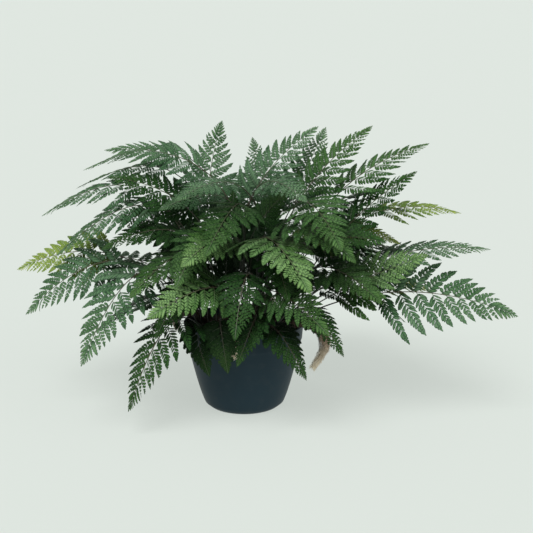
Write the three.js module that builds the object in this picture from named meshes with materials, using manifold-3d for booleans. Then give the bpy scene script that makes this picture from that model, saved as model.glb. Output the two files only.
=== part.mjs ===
// Potted bear's foot fern: a tapered nursery pot full of soil, furry creeping rhizomes that lie on the soil
// and hang over the rim, and seventy-five triangular cut fronds on thin stipes.
// Millimetres, +Z up. The origin is the middle of the pot's flat underside, and -Y is the front.
import * as THREE from "three";
import { mergeVertices } from "three/addons/utils/BufferGeometryUtils.js";
import Module from "manifold-3d";

const wasm = await Module();
wasm.setup();

// Driving dimensions of the pot and the soil.
const pot = {
  height: 138,
  footRadius: 58,
  footCorner: 3.5,
  wallStart: 61, // radius that the curved wall would have at the floor
  wallSpread: 32, // how much wider the wall is under the collar
  wallPower: 0.73, // below 1 makes the wall bulge like a bowl
  collarBottom: 112,
  collarRadius: 93.5,
  rimRadius: 95.5,
  lipHeight: 3,
  lipOut: 1.5,
  wall: 1.8,
  floor: 2.2,
  drainHoles: 6,
  drainRadius: 5,
  drainCircle: 42,
  drainSides: 8,
  sides: 30,
};
const soil = { rimLevel: 124, crown: 6, gap: 0.4, holeSides: 5 };
const clearance = 0.35; // between a stipe and its hole, and under a rhizome

// Driving dimensions of the fronds.
const leaf = {
  pairs: 6, // pinnae on each side of a rachis
  broadPairs: 1, // of these, from the lowest up, the ones cut with shoulders
  thickness: 0.8,
  stipeHalf: 1.15, // half the side of a stipe's square section
  curveSteps: 48, // straight steps that a frond's centre line is measured in
  stipeSteps: 3,
  lastStep: 0.6, // from the last ring of a stipe to its blade, in steps
  pegDepth: 9, // how deep a stipe stands in the soil
  pegRise: 0.6, // how far it stands upright over the soil
  firstStation: 0.02, // where the lowest pinna leaves the rachis, as a share of the blade
  lastStation: 0.92,
  stationPower: 1.35,
  alternate: 0.018, // left pinnae leave the rachis this much before the right ones
  pinnaReach: 0.47, // length of the lowest pinna, as a share of the blade
  pinnaPower: 0.86,
  pinnaAngle: [64, 34], // degrees from the rachis, at the blade's foot and at its tip
  shoulderAt: 0.32, // where a pinna is widest, as a share of its length
  shoulderFill: 0.94, // how much of the room between its neighbours a pinna takes
  lowestExtra: 1.5, // the lowest pinna's lower shoulder is this much wider
  arch: 0.3, // how far the pinnae sag across the blade
};

// Small vector helpers on plain arrays.
const add = (a, b) => [a[0] + b[0], a[1] + b[1], a[2] + b[2]];
const sub = (a, b) => [a[0] - b[0], a[1] - b[1], a[2] - b[2]];
const mul = (a, k) => [a[0] * k, a[1] * k, a[2] * k];
const dot = (a, b) => a[0] * b[0] + a[1] * b[1] + a[2] * b[2];
const cross = (a, b) => [a[1] * b[2] - a[2] * b[1], a[2] * b[0] - a[0] * b[2], a[0] * b[1] - a[1] * b[0]];
const size = (a) => Math.sqrt(dot(a, a));
const unit = (a) => mul(a, 1 / size(a));
const mix = (a, b, t) => a + (b - a) * t;
const radians = (degrees) => (degrees * Math.PI) / 180;
const turned = (p, angle) => [
  p[0] * Math.cos(angle) - p[1] * Math.sin(angle),
  p[0] * Math.sin(angle) + p[1] * Math.cos(angle),
  p[2],
];

// Seeded draws, the same on every run.
function draws(seed) {
  let state = seed;
  return () => {
    state = (state * 1664525 + 1013904223) % 4294967296;
    return state / 4294967296;
  };
}

function potRadius(z) {
  if (z >= pot.collarBottom) {
    return mix(pot.collarRadius, pot.rimRadius, (z - pot.collarBottom) / (pot.height - pot.collarBottom));
  }
  return pot.wallStart + pot.wallSpread * Math.pow(Math.max(z, 0) / pot.collarBottom, pot.wallPower);
}

const soilTop = (x, y) => {
  const r = Math.sqrt(x * x + y * y) / pot.collarRadius;
  return soil.rimLevel + soil.crown * (1 - r * r);
};

// Rhizomes: the points that each one runs through, from its root end to its tip, and its thickness.
const rhizomes = [
  {
    name: "rhizome_right",
    radius: 9,
    through: [
      [26, -18], [58, -33], [80, -42, 148.5], [101, -51, 150.5], [120, -62, 141], [126, -74, 117],
      [108, -84, 88],
    ],
  },
  {
    name: "rhizome_front",
    radius: 6.5,
    through: [[-14, -30], [-12, -62], [-12, -86, 146], [-13, -102, 147], [-14, -112, 136], [-12, -110, 114]],
  },
  {
    name: "rhizome_left",
    radius: 7.5,
    through: [[-26, 4], [-56, 12], [-82, 15, 147.5], [-101, 20, 147], [-112, 26, 136], [-110, 32, 116]],
  },
  {
    name: "rhizome_back",
    radius: 8,
    through: [[2, 26], [14, 56], [24, 86, 148], [33, 102, 147.5], [42, 112, 136], [42, 111, 112]],
  },
];
const rhizomeStep = 8; // path steps between two of its points
const rhizomeSides = 6;
const rhizomeNose = 0.3; // how far its tip sticks out, as a share of its radius

// A point of a smooth curve between b and c, which comes from a and goes on to d.
function smoothPoint([a, b, c, d], t) {
  return [0, 1, 2].map((k) => {
    const cubic = 3 * (b[k] - c[k]) + d[k] - a[k];
    const square = 2 * a[k] - 5 * b[k] + 4 * c[k] - d[k];
    return b[k] + 0.5 * t * (c[k] - a[k] + t * (square + t * cubic));
  });
}

function rhizomePath(item) {
  const onSoil = (p) => soilTop(p[0], p[1]) + item.radius + clearance;
  const knots = item.through.map((p) => [p[0], p[1], p.length > 2 ? p[2] : onSoil(p)]);
  const end = knots.length - 1;
  const path = [];
  for (let i = 0; i < end; i++) {
    const four = [knots[Math.max(i - 1, 0)], knots[i], knots[i + 1], knots[Math.min(i + 2, end)]];
    for (let j = 0; j < rhizomeStep; j++) path.push(smoothPoint(four, j / rhizomeStep));
  }
  path.push(knots[end]);
  for (const p of path) {
    if (p[0] * p[0] + p[1] * p[1] < pot.collarRadius ** 2) p[2] = Math.max(p[2], onSoil(p));
  }
  return path;
}

// Fronds placed by eye: where the blade starts (neck), its tip, how it is rolled about its own rachis, and
// its colour.
const seen = [
  { neck: [23, -55, 284], tip: [99, -205, 238], roll: 0, tone: "fresh" },
  { neck: [26, -85, 206], tip: [127, -190, 172], roll: 25, tone: "mid" },
  { neck: [-17, -85, 208], tip: [-138, -175, 193], roll: -35, tone: "fresh" },
  { neck: [-11, -60, 288], tip: [-88, -175, 266], roll: -20, tone: "fresh" },
  { neck: [63, -45, 310], tip: [165, -160, 271], roll: 20, tone: "mid" },
  { neck: [-5, -30, 333], tip: [-54, -140, 275], roll: 0, tone: "mid" },
  { neck: [106, -45, 235], tip: [208, -140, 205], roll: 15, tone: "mid" },
  { neck: [-73, -50, 254], tip: [-168, -140, 208], roll: -15, tone: "mid" },
  { neck: [20, -40, 290], tip: [75, -40, 352], roll: 45, tone: "mid" },
  { neck: [-82, -78, 165], tip: [-172, -150, 40], roll: 0, tone: "deep" },
  { neck: [-34, -105, 172], tip: [-22, -132, 94], roll: 0, tone: "mid" },
  { neck: [-66, -92, 165], tip: [-50, -130, 96], roll: 0, tone: "deep" },
  { neck: [34, -104, 165], tip: [96, -150, 90], roll: 0, tone: "deep" },
  { neck: [20, -100, 172], tip: [-8, -132, 108], roll: 0, tone: "deep" },
  { neck: [80, -95, 185], tip: [150, -165, 132], roll: 0, tone: "deep" },
  { neck: [10, -98, 240], tip: [-10, -180, 160], roll: 0, tone: "deep" },
  { neck: [-48, -85, 240], tip: [-80, -160, 165], roll: -10, tone: "deep" },
  { neck: [70, -80, 240], tip: [110, -160, 150], roll: 10, tone: "deep" },
  { neck: [-135, -55, 235], tip: [-240, -150, 112], roll: -20, tone: "grey" },
  { neck: [-190, -20, 245], tip: [-345, -40, 160], roll: -25, tone: "grey" },
  { neck: [-61, 75, 300], tip: [-37, 120, 446], roll: 0, tone: "grey" },
  { neck: [-130, 90, 370], tip: [-284, 120, 331], roll: -5, tone: "grey" },
  { neck: [-110, 120, 390], tip: [-276, 150, 355], roll: -5, tone: "grey" },
  { neck: [-65, 50, 375], tip: [-222, 40, 408], roll: -20, tone: "grey" },
  { neck: [-175, 60, 345], tip: [-335, 80, 292], roll: -15, tone: "grey" },
  { neck: [-215, 10, 246], tip: [-375, 20, 212], roll: -6, tone: "lime" },
  { neck: [-140, 30, 325], tip: [-303, 50, 241], roll: -30, tone: "grey" },
  { neck: [-64, -12, 176], tip: [-66, 34, 265], roll: 0, tone: "deep" },
  { neck: [-24, -16, 176], tip: [-22, 34, 270], roll: 0, tone: "deep" },
  { neck: [18, -14, 176], tip: [22, 36, 268], roll: 0, tone: "deep" },
  { neck: [62, -12, 176], tip: [68, 38, 265], roll: 0, tone: "deep" },
  { neck: [-20, 26, 232], tip: [-16, 70, 338], roll: 0, tone: "deep" },
  { neck: [30, 26, 232], tip: [36, 70, 338], roll: 0, tone: "deep" },
  { neck: [34, 105, 300], tip: [12, 150, 414], roll: 0, tone: "grey" },
  { neck: [10, 50, 330], tip: [121, 85, 443], roll: 30, tone: "grey" },
  { neck: [80, 80, 300], tip: [134, 125, 430], roll: 10, tone: "grey" },
  { neck: [95, 20, 340], tip: [206, 60, 443], roll: 25, tone: "mid" },
  { neck: [150, 10, 345], tip: [296, 50, 418], roll: 10, tone: "mid" },
  { neck: [140, -20, 270], tip: [266, -40, 388], roll: 30, tone: "deep" },
  { neck: [215, 20, 312], tip: [350, 40, 306], roll: 8, tone: "lime" },
  { neck: [160, 30, 280], tip: [250, 10, 262], roll: 20, tone: "lime" },
  { neck: [215, 5, 240], tip: [388, -20, 262], roll: 10, tone: "grey" },
  { neck: [205, -35, 198], tip: [425, -60, 170], roll: 32, tone: "grey" },
  { neck: [100, -35, 262], tip: [215, -85, 285], roll: 20, tone: "deep" },
  { neck: [140, -70, 190], tip: [280, -120, 262], roll: 30, tone: "fresh" },
  { neck: [115, -75, 150], tip: [211, -140, 110], roll: 0, tone: "deep" },
  { neck: [-110, -40, 255], tip: [-270, -60, 252], roll: -30, tone: "grey" },
  { neck: [-95, -25, 288], tip: [-215, -85, 275], roll: -20, tone: "deep" },
  { neck: [-85, 15, 270], tip: [-215, 40, 290], roll: -35, tone: "deep" },
  { neck: [-44, -20, 316], tip: [-138, -110, 263], roll: -15, tone: "mid" },
  { neck: [135, -20, 316], tip: [232, -110, 263], roll: 15, tone: "deep" },
  { neck: [88, -20, 347], tip: [144, -120, 299], roll: 10, tone: "mid" },
  { neck: [-42, 24, 180], tip: [-44, 74, 285], roll: 0, tone: "deep" },
  { neck: [0, 26, 180], tip: [2, 80, 300], roll: 0, tone: "deep" },
  { neck: [42, 24, 180], tip: [46, 76, 290], roll: 0, tone: "deep" },
];

// Fronds that fill the rest of the mound, by rule, tier by tier. Each tier gives a range of azimuths, and
// the radius and height of its necks and of its tips.
const tiers = [
  { count: 7, from: -160, to: -20, neck: [100, 230], tip: [180, 160], face: 15, tone: "deep" },
  { count: 6, from: -155, to: -25, neck: [98, 285], tip: [195, 225], face: 25, tone: "mid" },
  { count: 6, from: -165, to: -15, neck: [45, 355], tip: [140, 335], face: 35, tone: "grey" },
  { count: 6, from: 20, to: 380, neck: [18, 300], tip: [120, 405], face: 45, tone: "mid" },
  { count: 7, from: 10, to: 370, neck: [35, 280], tip: [165, 370], face: 40, tone: "grey" },
  { count: 10, from: 0, to: 180, neck: [165, 220], tip: [350, 205], face: 0, tone: "mid" },
  { count: 8, from: 25, to: 155, neck: [125, 185], tip: [285, 120], face: 0, tone: "deep" },
  { count: 11, from: 5, to: 175, neck: [130, 300], tip: [300, 330], face: 10, tone: "grey" },
  { count: 12, from: -185, to: 5, neck: [90, 260], tip: [250, 290], face: 30, tone: "mid" },
  { count: 12, from: -180, to: 0, neck: [95, 205], tip: [240, 190], face: 20, tone: "deep" },
  { count: 10, from: 0, to: 360, neck: [85, 330], tip: [215, 380], face: 30, tone: "mid" },
  { count: 14, from: 0, to: 360, neck: [110, 240], tip: [270, 250], face: 20, tone: "deep" },
  { count: 14, from: 0, to: 360, neck: [60, 220], tip: [190, 270], face: 30, tone: "deep" },
  { count: 14, from: 0, to: 360, neck: [50, 280], tip: [190, 330], face: 30, tone: "mid" },
];
const spread = { azimuth: 8, radius: 0.12, height: 18, turn: 16, roll: 14 };
const mostFronds = 80;
// The fronds placed by rule stay inside this half ellipsoid, which is flatter below its middle height.
const mound = { middle: [15, 0, 185], wide: 365, above: 262, below: 190 };

// Places where stipes leave the soil: a sunflower spiral, without the places that a rhizome covers.
const bases = { count: 90, radius: 76, rise: 7, margin: 12, golden: 2.399963, nodes: 54, fork: 45 };
// How far out a foot is, as a share of its neck's distance from the middle: less for a high neck.
const foot = { lowShare: 0.75, highShare: 0.3, least: 8, most: 70, neckLow: 150, neckRise: 220 };
// The search for a clear place moves outward in a spiral from the wished one. Fronds placed by eye move
// along Y most, the others round the pot and up or down.
const search = {
  tries: 360,
  feet: 4,
  shift: 7,
  azimuth: 2,
  lift: 7,
  roll: 5,
  rollTurn: 1.7,
  golden: 2.399963,
};
const grid = { cell: 3, spacing: 0.011, chordPoints: 40, half: 480, top: 520 };
// Distances that fronds keep: from the ground, the pot, a rhizome and the soil. Near their foot they may
// be closer to what they grow from.
const keep = { ground: 8, pot: 3, rhizome: 3, soil: 5, nearFoot: 8, nearRhizome: 16 };

// A frond's centre line: a parabola from its base through its neck to its tip, with its length along it.
function spineOf(base, neck, tip) {
  const lower = size(sub(neck, base));
  const upper = size(sub(tip, neck));
  const t = lower / (lower + upper);
  const bend = mul(sub(sub(neck, mul(base, (1 - t) * (1 - t))), mul(tip, t * t)), 1 / (2 * t * (1 - t)));
  const at = (s) => add(add(mul(base, (1 - s) * (1 - s)), mul(bend, 2 * s * (1 - s))), mul(tip, s * s));
  const steps = leaf.curveSteps;
  const arc = [0];
  let last = base;
  for (let i = 1; i <= steps; i++) {
    const next = at(i / steps);
    arc.push(arc[i - 1] + size(sub(next, last)));
    last = next;
  }
  const whole = arc[steps];
  const neckArc = arc[Math.floor(t * steps)];
  const side = unit([-(tip[1] - base[1]), tip[0] - base[0], 0]);
  return { base, bend, tip, at, arc, steps, whole, neckArc, blade: whole - neckArc, side };
}

// The point, tangent, side and normal of a spine at a distance along it; past its end it runs straight on.
function frameAt(spine, distance, roll) {
  let i = 1;
  while (i < spine.steps && spine.arc[i] < distance) i++;
  const t = (i - 1 + (distance - spine.arc[i - 1]) / (spine.arc[i] - spine.arc[i - 1])) / spine.steps;
  const end = Math.min(t, 1);
  const along = unit(
    add(mul(sub(spine.bend, spine.base), 1 - end), mul(sub(spine.tip, spine.bend), end)),
  );
  let point = spine.at(end);
  if (distance > spine.whole) point = add(point, mul(along, distance - spine.whole));
  const flat = unit(sub(spine.side, mul(along, dot(spine.side, along))));
  const above = cross(along, flat);
  const c = Math.cos(roll);
  const s = Math.sin(roll);
  return {
    point,
    along,
    side: add(mul(flat, c), mul(above, s)),
    normal: sub(mul(above, c), mul(flat, s)),
  };
}

// A point of the blade: u along the rachis from the neck, v to the side, w above the blade's surface.
function bladePoint(frond, u, v, w) {
  const f = frameAt(frond.spine, frond.spine.neckArc + u, frond.roll);
  const sag = (leaf.arch * v * v) / frond.spine.blade;
  return add(add(f.point, mul(f.side, v)), mul(f.normal, w - sag));
}

// The flat outline of a blade of length 1: the stations on the rachis, and each pinna's lower shoulder, tip
// and upper shoulder.
function bladeOutline() {
  const stations = [];
  for (let k = 0; k <= leaf.pairs; k++) {
    const share = 1 - Math.pow(1 - k / leaf.pairs, leaf.stationPower);
    stations.push(leaf.firstStation + (leaf.lastStation - leaf.firstStation) * share);
  }
  const pinnae = [];
  for (let k = 0; k < leaf.pairs; k++) {
    const root = (stations[k] + stations[k + 1]) / 2;
    const angle = radians(mix(leaf.pinnaAngle[0], leaf.pinnaAngle[1], root));
    const reach = leaf.pinnaReach * Math.pow(1 - root, leaf.pinnaPower);
    const half = ((stations[k + 1] - stations[k]) * Math.sin(angle) * leaf.shoulderFill) / 2;
    const out = (share, aside) => [
      root + reach * share * Math.cos(angle) - aside * Math.sin(angle),
      reach * share * Math.sin(angle) + aside * Math.cos(angle),
    ];
    const lower = out(leaf.shoulderAt, half * (k ? 1 : leaf.lowestExtra));
    const upper = out(leaf.shoulderAt, -half);
    pinnae.push(k < leaf.broadPairs ? [lower, out(1, 0), upper] : [out(1, 0)]);
  }
  return { stations, pinnae };
}
const outline = bladeOutline();
const ribHalf = (u) => mix(1.5, 0.6, u);
const ribThick = (u) => mix(1.0, leaf.thickness / 2, u);

// The outline's corners, and points all over its triangles as shares of three corners: two fronds can't
// cross between such points.
function outlineSamples() {
  const corners = [];
  const samples = [];
  const fill = (a, b, c) => {
    const far = (p, q) => Math.sqrt((p[0] - q[0]) ** 2 + (p[1] - q[1]) ** 2);
    const [p, q, r] = [corners[a], corners[b], corners[c]];
    const n = Math.ceil(Math.max(far(p, q), far(q, r), far(r, p)) / grid.spacing);
    for (let i = 0; i <= n; i++) {
      for (let j = 0; i + j <= n; j++) samples.push([a, b, c, i / n, j / n, (n - i - j) / n]);
    }
  };
  for (const way of [1, -1]) {
    const corner = (q) => corners.push([q[0] - way * leaf.alternate, way * q[1]]) - 1;
    let low = corner([outline.stations[0], 0]);
    outline.pinnae.forEach((pinna, k) => {
      const high = corner([outline.stations[k + 1], 0]);
      const ends = [...pinna.map(corner), high];
      for (let i = 0; i + 1 < ends.length; i++) fill(low, ends[i], ends[i + 1]);
      low = high;
    });
    fill(low, corner([1, 0]), low);
  }
  return { corners, samples };
}
const flat = outlineSamples();

// Where the rings of a stipe are, as shares of its length, and points along the straight lines between them.
const stipeShare = (i) => i / (leaf.stipeSteps + leaf.lastStep);
function stipePoints(spine) {
  const shares = [0];
  for (let i = 1; i <= leaf.stipeSteps; i++) shares.push(stipeShare(i));
  const rings = [...shares, 1].map((share) => frameAt(spine, spine.neckArc * share, 0).point);
  const found = [];
  for (let i = 0; i + 1 < rings.length; i++) {
    for (let j = 0; j < grid.chordPoints; j++) {
      found.push(add(rings[i], mul(sub(rings[i + 1], rings[i]), j / grid.chordPoints)));
    }
  }
  return found;
}

// The outline's corners in place, and a point between three of them.
const cornerPoints = (frond) =>
  flat.corners.map((q) => bladePoint(frond, q[0] * frond.spine.blade, q[1] * frond.spine.blade, 0));
const between = (placed, [a, b, c, i, j, k]) =>
  add(add(mul(placed[a], i), mul(placed[b], j)), mul(placed[c], k));

function hitsPot(p) {
  const r = Math.sqrt(p[0] * p[0] + p[1] * p[1]);
  if (p[2] < keep.ground) return true;
  if (p[2] > pot.height + keep.pot) return false;
  return r < potRadius(p[2]) + pot.lipOut + keep.pot;
}

function leavesMound(p) {
  const d = sub(p, mound.middle);
  const high = d[2] / (d[2] > 0 ? mound.above : mound.below);
  return (d[0] * d[0] + d[1] * d[1]) / mound.wide ** 2 + high * high > 1;
}

const rhizomePaths = rhizomes.map((item) => ({ item, path: rhizomePath(item) }));
const hitsRhizome = (p, margin) =>
  rhizomePaths.some(({ item, path }) =>
    path.some((q) => {
      const d = sub(p, q);
      return dot(d, d) < (item.radius + margin) ** 2;
    }),
  );

function baseSlots() {
  const slots = [];
  for (let i = 0; i < bases.count; i++) {
    const r = bases.radius * Math.sqrt((i + 0.5) / bases.count);
    const p = turned([r, 0, soilTop(r, 0)], i * bases.golden);
    const above = add(p, [0, 0, bases.rise]);
    if (!hitsRhizome(above, keep.rhizome + 1)) slots.push({ p, fronds: 0, node: -1 });
  }
  return slots;
}

function tierWishes() {
  const random = draws(20250117);
  const jitter = () => 2 * random() - 1;
  const wishes = [];
  for (const tier of tiers) {
    for (let i = 0; i < tier.count; i++) {
      const azimuth = mix(tier.from, tier.to, (i + 0.5) / tier.count) + spread.azimuth * jitter();
      const wide = 1 + spread.radius * jitter();
      const high = spread.height * jitter();
      const turn = spread.turn * jitter();
      const neck = turned([tier.neck[0] * wide, 0, tier.neck[1] + high], radians(azimuth));
      const tip = turned([tier.tip[0] * wide, 0, tier.tip[1] + high], radians(azimuth + turn));
      const roll = tier.face * Math.cos(radians(azimuth)) + spread.roll * jitter();
      wishes.push({ neck, tip, roll, tone: tier.tone, seen: false });
    }
  }
  return wishes;
}

// The free places in the soil nearest to where a frond should start: the steeper it rises, the nearer the
// middle. Once all nodes are used, a frond shares the foot of another.
function slotsFor(wish, slots, nodes) {
  const out = Math.sqrt(wish.neck[0] ** 2 + wish.neck[1] ** 2);
  const share = mix(foot.lowShare, foot.highShare, (wish.neck[2] - foot.neckLow) / foot.neckRise);
  const wanted = Math.min(foot.most, Math.max(foot.least, out * share)) / out;
  const far = (s) => (s.p[0] - wish.neck[0] * wanted) ** 2 + (s.p[1] - wish.neck[1] * wanted) ** 2;
  return slots
    .filter((s) => (nodes < bases.nodes ? s.fronds === 0 : s.fronds === 1))
    .sort((a, b) => far(a) - far(b))
    .slice(0, search.feet);
}

function nudged(wish, n) {
  const far = Math.sqrt(n / search.feet);
  const a = search.golden * n;
  const roll = radians(wish.roll + search.roll * far * Math.sin(search.rollTurn * n));
  if (wish.seen) {
    const shift = search.shift * far * Math.cos(a);
    const lift = (search.lift / 3) * far * Math.sin(a);
    return { roll, neck: add(wish.neck, [0, shift / 2, lift]), tip: add(wish.tip, [0, shift, lift]) };
  }
  const turn = radians(search.azimuth) * far * Math.cos(a);
  const lift = search.lift * far * Math.sin(a);
  return {
    roll,
    neck: add(turned(wish.neck, turn), [0, 0, lift / 2]),
    tip: add(turned(wish.tip, turn), [0, 0, lift]),
  };
}

// The cells that are taken: 0 is free, a positive number is one node's, and -1 is more than one's.
const across = Math.ceil((2 * grid.half) / grid.cell);
const upward = Math.ceil(grid.top / grid.cell);
const cells = (distance) => Math.floor(distance / grid.cell);
const cellOf = (p) => (cells(p[0] + grid.half) * across + cells(p[1] + grid.half)) * upward + cells(p[2]);

function isClear(p, taken, base, own) {
  const r = Math.sqrt(p[0] * p[0] + p[1] * p[1]);
  const away = size(sub(p, base));
  const overSoil = r < bases.radius + bases.margin;
  if (away < keep.nearFoot) return true;
  if (overSoil && p[2] < soilTop(p[0], p[1]) + keep.soil) return false;
  if (!overSoil && hitsPot(p)) return false;
  if (away > keep.nearRhizome && hitsRhizome(p, keep.rhizome)) return false;
  const owner = taken[cellOf(p)];
  return owner === 0 || (owner === own && away < bases.fork);
}

function mark(samples, taken, own) {
  for (const c of new Set(samples.map(cellOf))) {
    for (const dx of [-across * upward, 0, across * upward]) {
      for (const dy of [-upward, 0, upward]) {
        for (const dz of [-1, 0, 1]) {
          const owner = taken[c + dx + dy + dz];
          taken[c + dx + dy + dz] = owner === 0 || owner === own ? own : -1;
        }
      }
    }
  }
}

// The first place where a frond is clear of everything, with its foot and the points that it takes up.
function firstClear(wish, feet, nodes, taken) {
  for (let n = 0; n < search.tries; n++) {
    const slot = feet[n % feet.length];
    const node = slot.fronds ? slot.node : nodes + 1;
    const { neck, tip, roll } = nudged(wish, n);
    const frond = { spine: spineOf(slot.p, neck, tip), roll, tone: wish.tone, node };
    const free = (p) => isClear(p, taken, slot.p, node);
    const stipe = stipePoints(frond.spine);
    if (!stipe.every(free)) continue;
    const corners = cornerPoints(frond);
    if (!corners.every((p) => free(p) && (wish.seen || !leavesMound(p)))) continue;
    if (!flat.samples.every((s) => free(between(corners, s)))) continue;
    return { frond, slot, samples: [...stipe, ...flat.samples.map((s) => between(corners, s))] };
  }
  return null;
}

// Gives each frond its foot, its node and a clear place. A frond that finds none is left out.
function layOut() {
  const slots = baseSlots();
  const taken = new Int16Array(across * across * upward);
  const wishes = [...seen.map((s) => ({ ...s, seen: true })), ...tierWishes()];
  const fronds = [];
  let nodes = 0;
  for (const wish of wishes) {
    if (fronds.length === mostFronds) break;
    const found = firstClear(wish, slotsFor(wish, slots, nodes), nodes, taken);
    if (!found) continue;
    const { frond, slot, samples } = found;
    mark(samples, taken, frond.node);
    nodes = Math.max(nodes, frond.node);
    slot.node = frond.node;
    slot.fronds++;
    fronds.push(frond);
  }
  return fronds;
}

// A growing list of corners and of triangles between them.
function newMesh() {
  const points = [];
  const faces = [];
  const put = (p) => points.push(p) - 1;
  const quad = (a, b, c, d) => faces.push([a, b, c], [a, c, d]);
  return { points, faces, put, quad };
}

function geometryOf({ points, faces }) {
  const g = new THREE.BufferGeometry();
  g.setAttribute("position", new THREE.Float32BufferAttribute(points.flat(), 3));
  g.setIndex(faces.flat());
  return g;
}

function solidOf(geometry) {
  const plain = geometry.clone();
  plain.deleteAttribute("normal");
  plain.deleteAttribute("uv");
  const merged = mergeVertices(plain, 1e-4);
  return new wasm.Manifold(
    new wasm.Mesh({
      numProp: 3,
      vertProperties: new Float32Array(merged.attributes.position.array),
      triVerts: new Uint32Array(merged.index.array),
    }),
  );
}

function geometryFrom(solid) {
  const mesh = solid.getMesh();
  const g = new THREE.BufferGeometry();
  g.setAttribute("position", new THREE.Float32BufferAttribute(mesh.vertProperties, 3));
  g.setIndex(new THREE.BufferAttribute(mesh.triVerts, 1));
  return g;
}

// The square rings of a stipe: at the end of its peg, where it leaves the soil, and on up to its blade.
function stipeRings({ spine, roll }, mesh) {
  const h = leaf.stipeHalf;
  const ring = (f) =>
    [[h, h], [-h, h], [-h, -h], [h, -h]].map(([out, up]) =>
      mesh.put(add(add(f.point, mul(f.side, out)), mul(f.normal, up))),
    );
  const upright = { side: spine.side, normal: mul([spine.side[1], -spine.side[0], 0], -1) };
  const rings = [
    ring({ ...upright, point: add(spine.base, [0, 0, -leaf.pegDepth]) }),
    ring({ ...upright, point: add(spine.base, [0, 0, leaf.pegRise]) }),
  ];
  for (let i = 1; i <= leaf.stipeSteps; i++) {
    const share = stipeShare(i);
    rings.push(ring(frameAt(spine, spine.neckArc * share, roll * share)));
  }
  return rings;
}

// The four corners of the rachis at each station, where the left and the right pinnae leave it.
function rachisRings(frond, mesh) {
  const long = frond.spine.blade;
  return outline.stations.map((u) => {
    const corner = (way, lift) =>
      mesh.put(bladePoint(frond, (u - way * leaf.alternate) * long, way * ribHalf(u), lift * ribThick(u)));
    return [corner(1, 1), corner(-1, 1), corner(-1, -1), corner(1, -1)];
  });
}

// The pinna between two stations of the rachis on one side, split alike on its upper and its under face.
function addPinna(frond, mesh, k, way, a, b) {
  const long = frond.spine.blade;
  const [top, under] = way > 0 ? [0, 3] : [1, 2];
  const corner = (q, lift) => {
    const along = (q[0] - way * leaf.alternate) * long;
    return mesh.put(bladePoint(frond, along, way * q[1] * long, (lift * leaf.thickness) / 2));
  };
  const upper = [a[top], ...outline.pinnae[k].map((q) => corner(q, 1)), b[top]];
  const lower = [a[under], ...outline.pinnae[k].map((q) => corner(q, -1)), b[under]];
  for (let i = 1; i + 1 < upper.length; i++) {
    const u = [upper[0], upper[i], upper[i + 1]];
    const l = [lower[0], lower[i + 1], lower[i]];
    mesh.faces.push(way > 0 ? u.reverse() : u, way > 0 ? l.reverse() : l);
  }
  for (let i = 0; i + 1 < upper.length; i++) {
    if (way > 0) mesh.quad(upper[i], upper[i + 1], lower[i + 1], lower[i]);
    else mesh.quad(upper[i + 1], upper[i], lower[i], lower[i + 1]);
  }
}

// One frond as a closed body: a square stipe that flattens into the rachis, and a cut blade on both sides.
function frondGeometry(frond) {
  const mesh = newMesh();
  const rings = stipeRings(frond, mesh);
  const stations = rachisRings(frond, mesh);
  mesh.quad(rings[0][3], rings[0][2], rings[0][1], rings[0][0]);
  const tube = [...rings, stations[0]];
  for (let i = 1; i < tube.length; i++) {
    const [a, b] = [tube[i - 1], tube[i]];
    for (let k = 0; k < 4; k++) mesh.quad(a[k], a[(k + 1) % 4], b[(k + 1) % 4], b[k]);
  }
  for (let k = 0; k < leaf.pairs; k++) {
    const [a, b] = [stations[k], stations[k + 1]];
    mesh.quad(a[0], a[1], b[1], b[0]);
    mesh.quad(a[3], b[3], b[2], a[2]);
    for (const way of [1, -1]) addPinna(frond, mesh, k, way, a, b);
  }
  const end = stations[leaf.pairs];
  const tipTop = mesh.put(bladePoint(frond, frond.spine.blade, 0, leaf.thickness / 2));
  const tipUnder = mesh.put(bladePoint(frond, frond.spine.blade, 0, -leaf.thickness / 2));
  mesh.faces.push([end[0], end[1], tipTop], [end[2], end[3], tipUnder]);
  mesh.quad(end[3], end[0], tipTop, tipUnder);
  mesh.quad(end[1], end[2], tipUnder, tipTop);
  return geometryOf(mesh);
}

const lathe = (profile, sides) => {
  const g = new THREE.LatheGeometry(profile.map((p) => new THREE.Vector2(p[0], p[1])), sides);
  g.rotateX(Math.PI / 2);
  return g;
};

function potGeometry() {
  const wallLevels = [12, 28, 50, 80, pot.collarBottom - 3];
  const outer = [
    [0, 0],
    [pot.footRadius, 0],
    [pot.footRadius + pot.footCorner, pot.footCorner],
    ...wallLevels.map((z) => [potRadius(z), z]),
    [pot.collarRadius, pot.collarBottom],
    [pot.rimRadius, pot.height - pot.lipHeight],
    [pot.rimRadius + pot.lipOut, pot.height - pot.lipHeight + 0.6],
    [pot.rimRadius + pot.lipOut, pot.height],
  ];
  const inner = [
    [pot.rimRadius - pot.wall, pot.height],
    [pot.collarRadius - pot.wall, pot.collarBottom],
    ...wallLevels.reverse().map((z) => [potRadius(z) - pot.wall, z]),
    [pot.footRadius, pot.floor],
    [0, pot.floor],
  ];
  let solid = solidOf(lathe([...outer, ...inner], pot.sides));
  for (let i = 0; i < pot.drainHoles; i++) {
    const hole = new THREE.CylinderGeometry(pot.drainRadius, pot.drainRadius, 4 * pot.floor, pot.drainSides);
    hole.rotateX(Math.PI / 2);
    const a = (2 * Math.PI * (i + 0.5)) / pot.drainHoles;
    hole.translate(pot.drainCircle * Math.cos(a), pot.drainCircle * Math.sin(a), 0);
    solid = solid.subtract(solidOf(hole));
  }
  return geometryFrom(solid);
}

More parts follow.
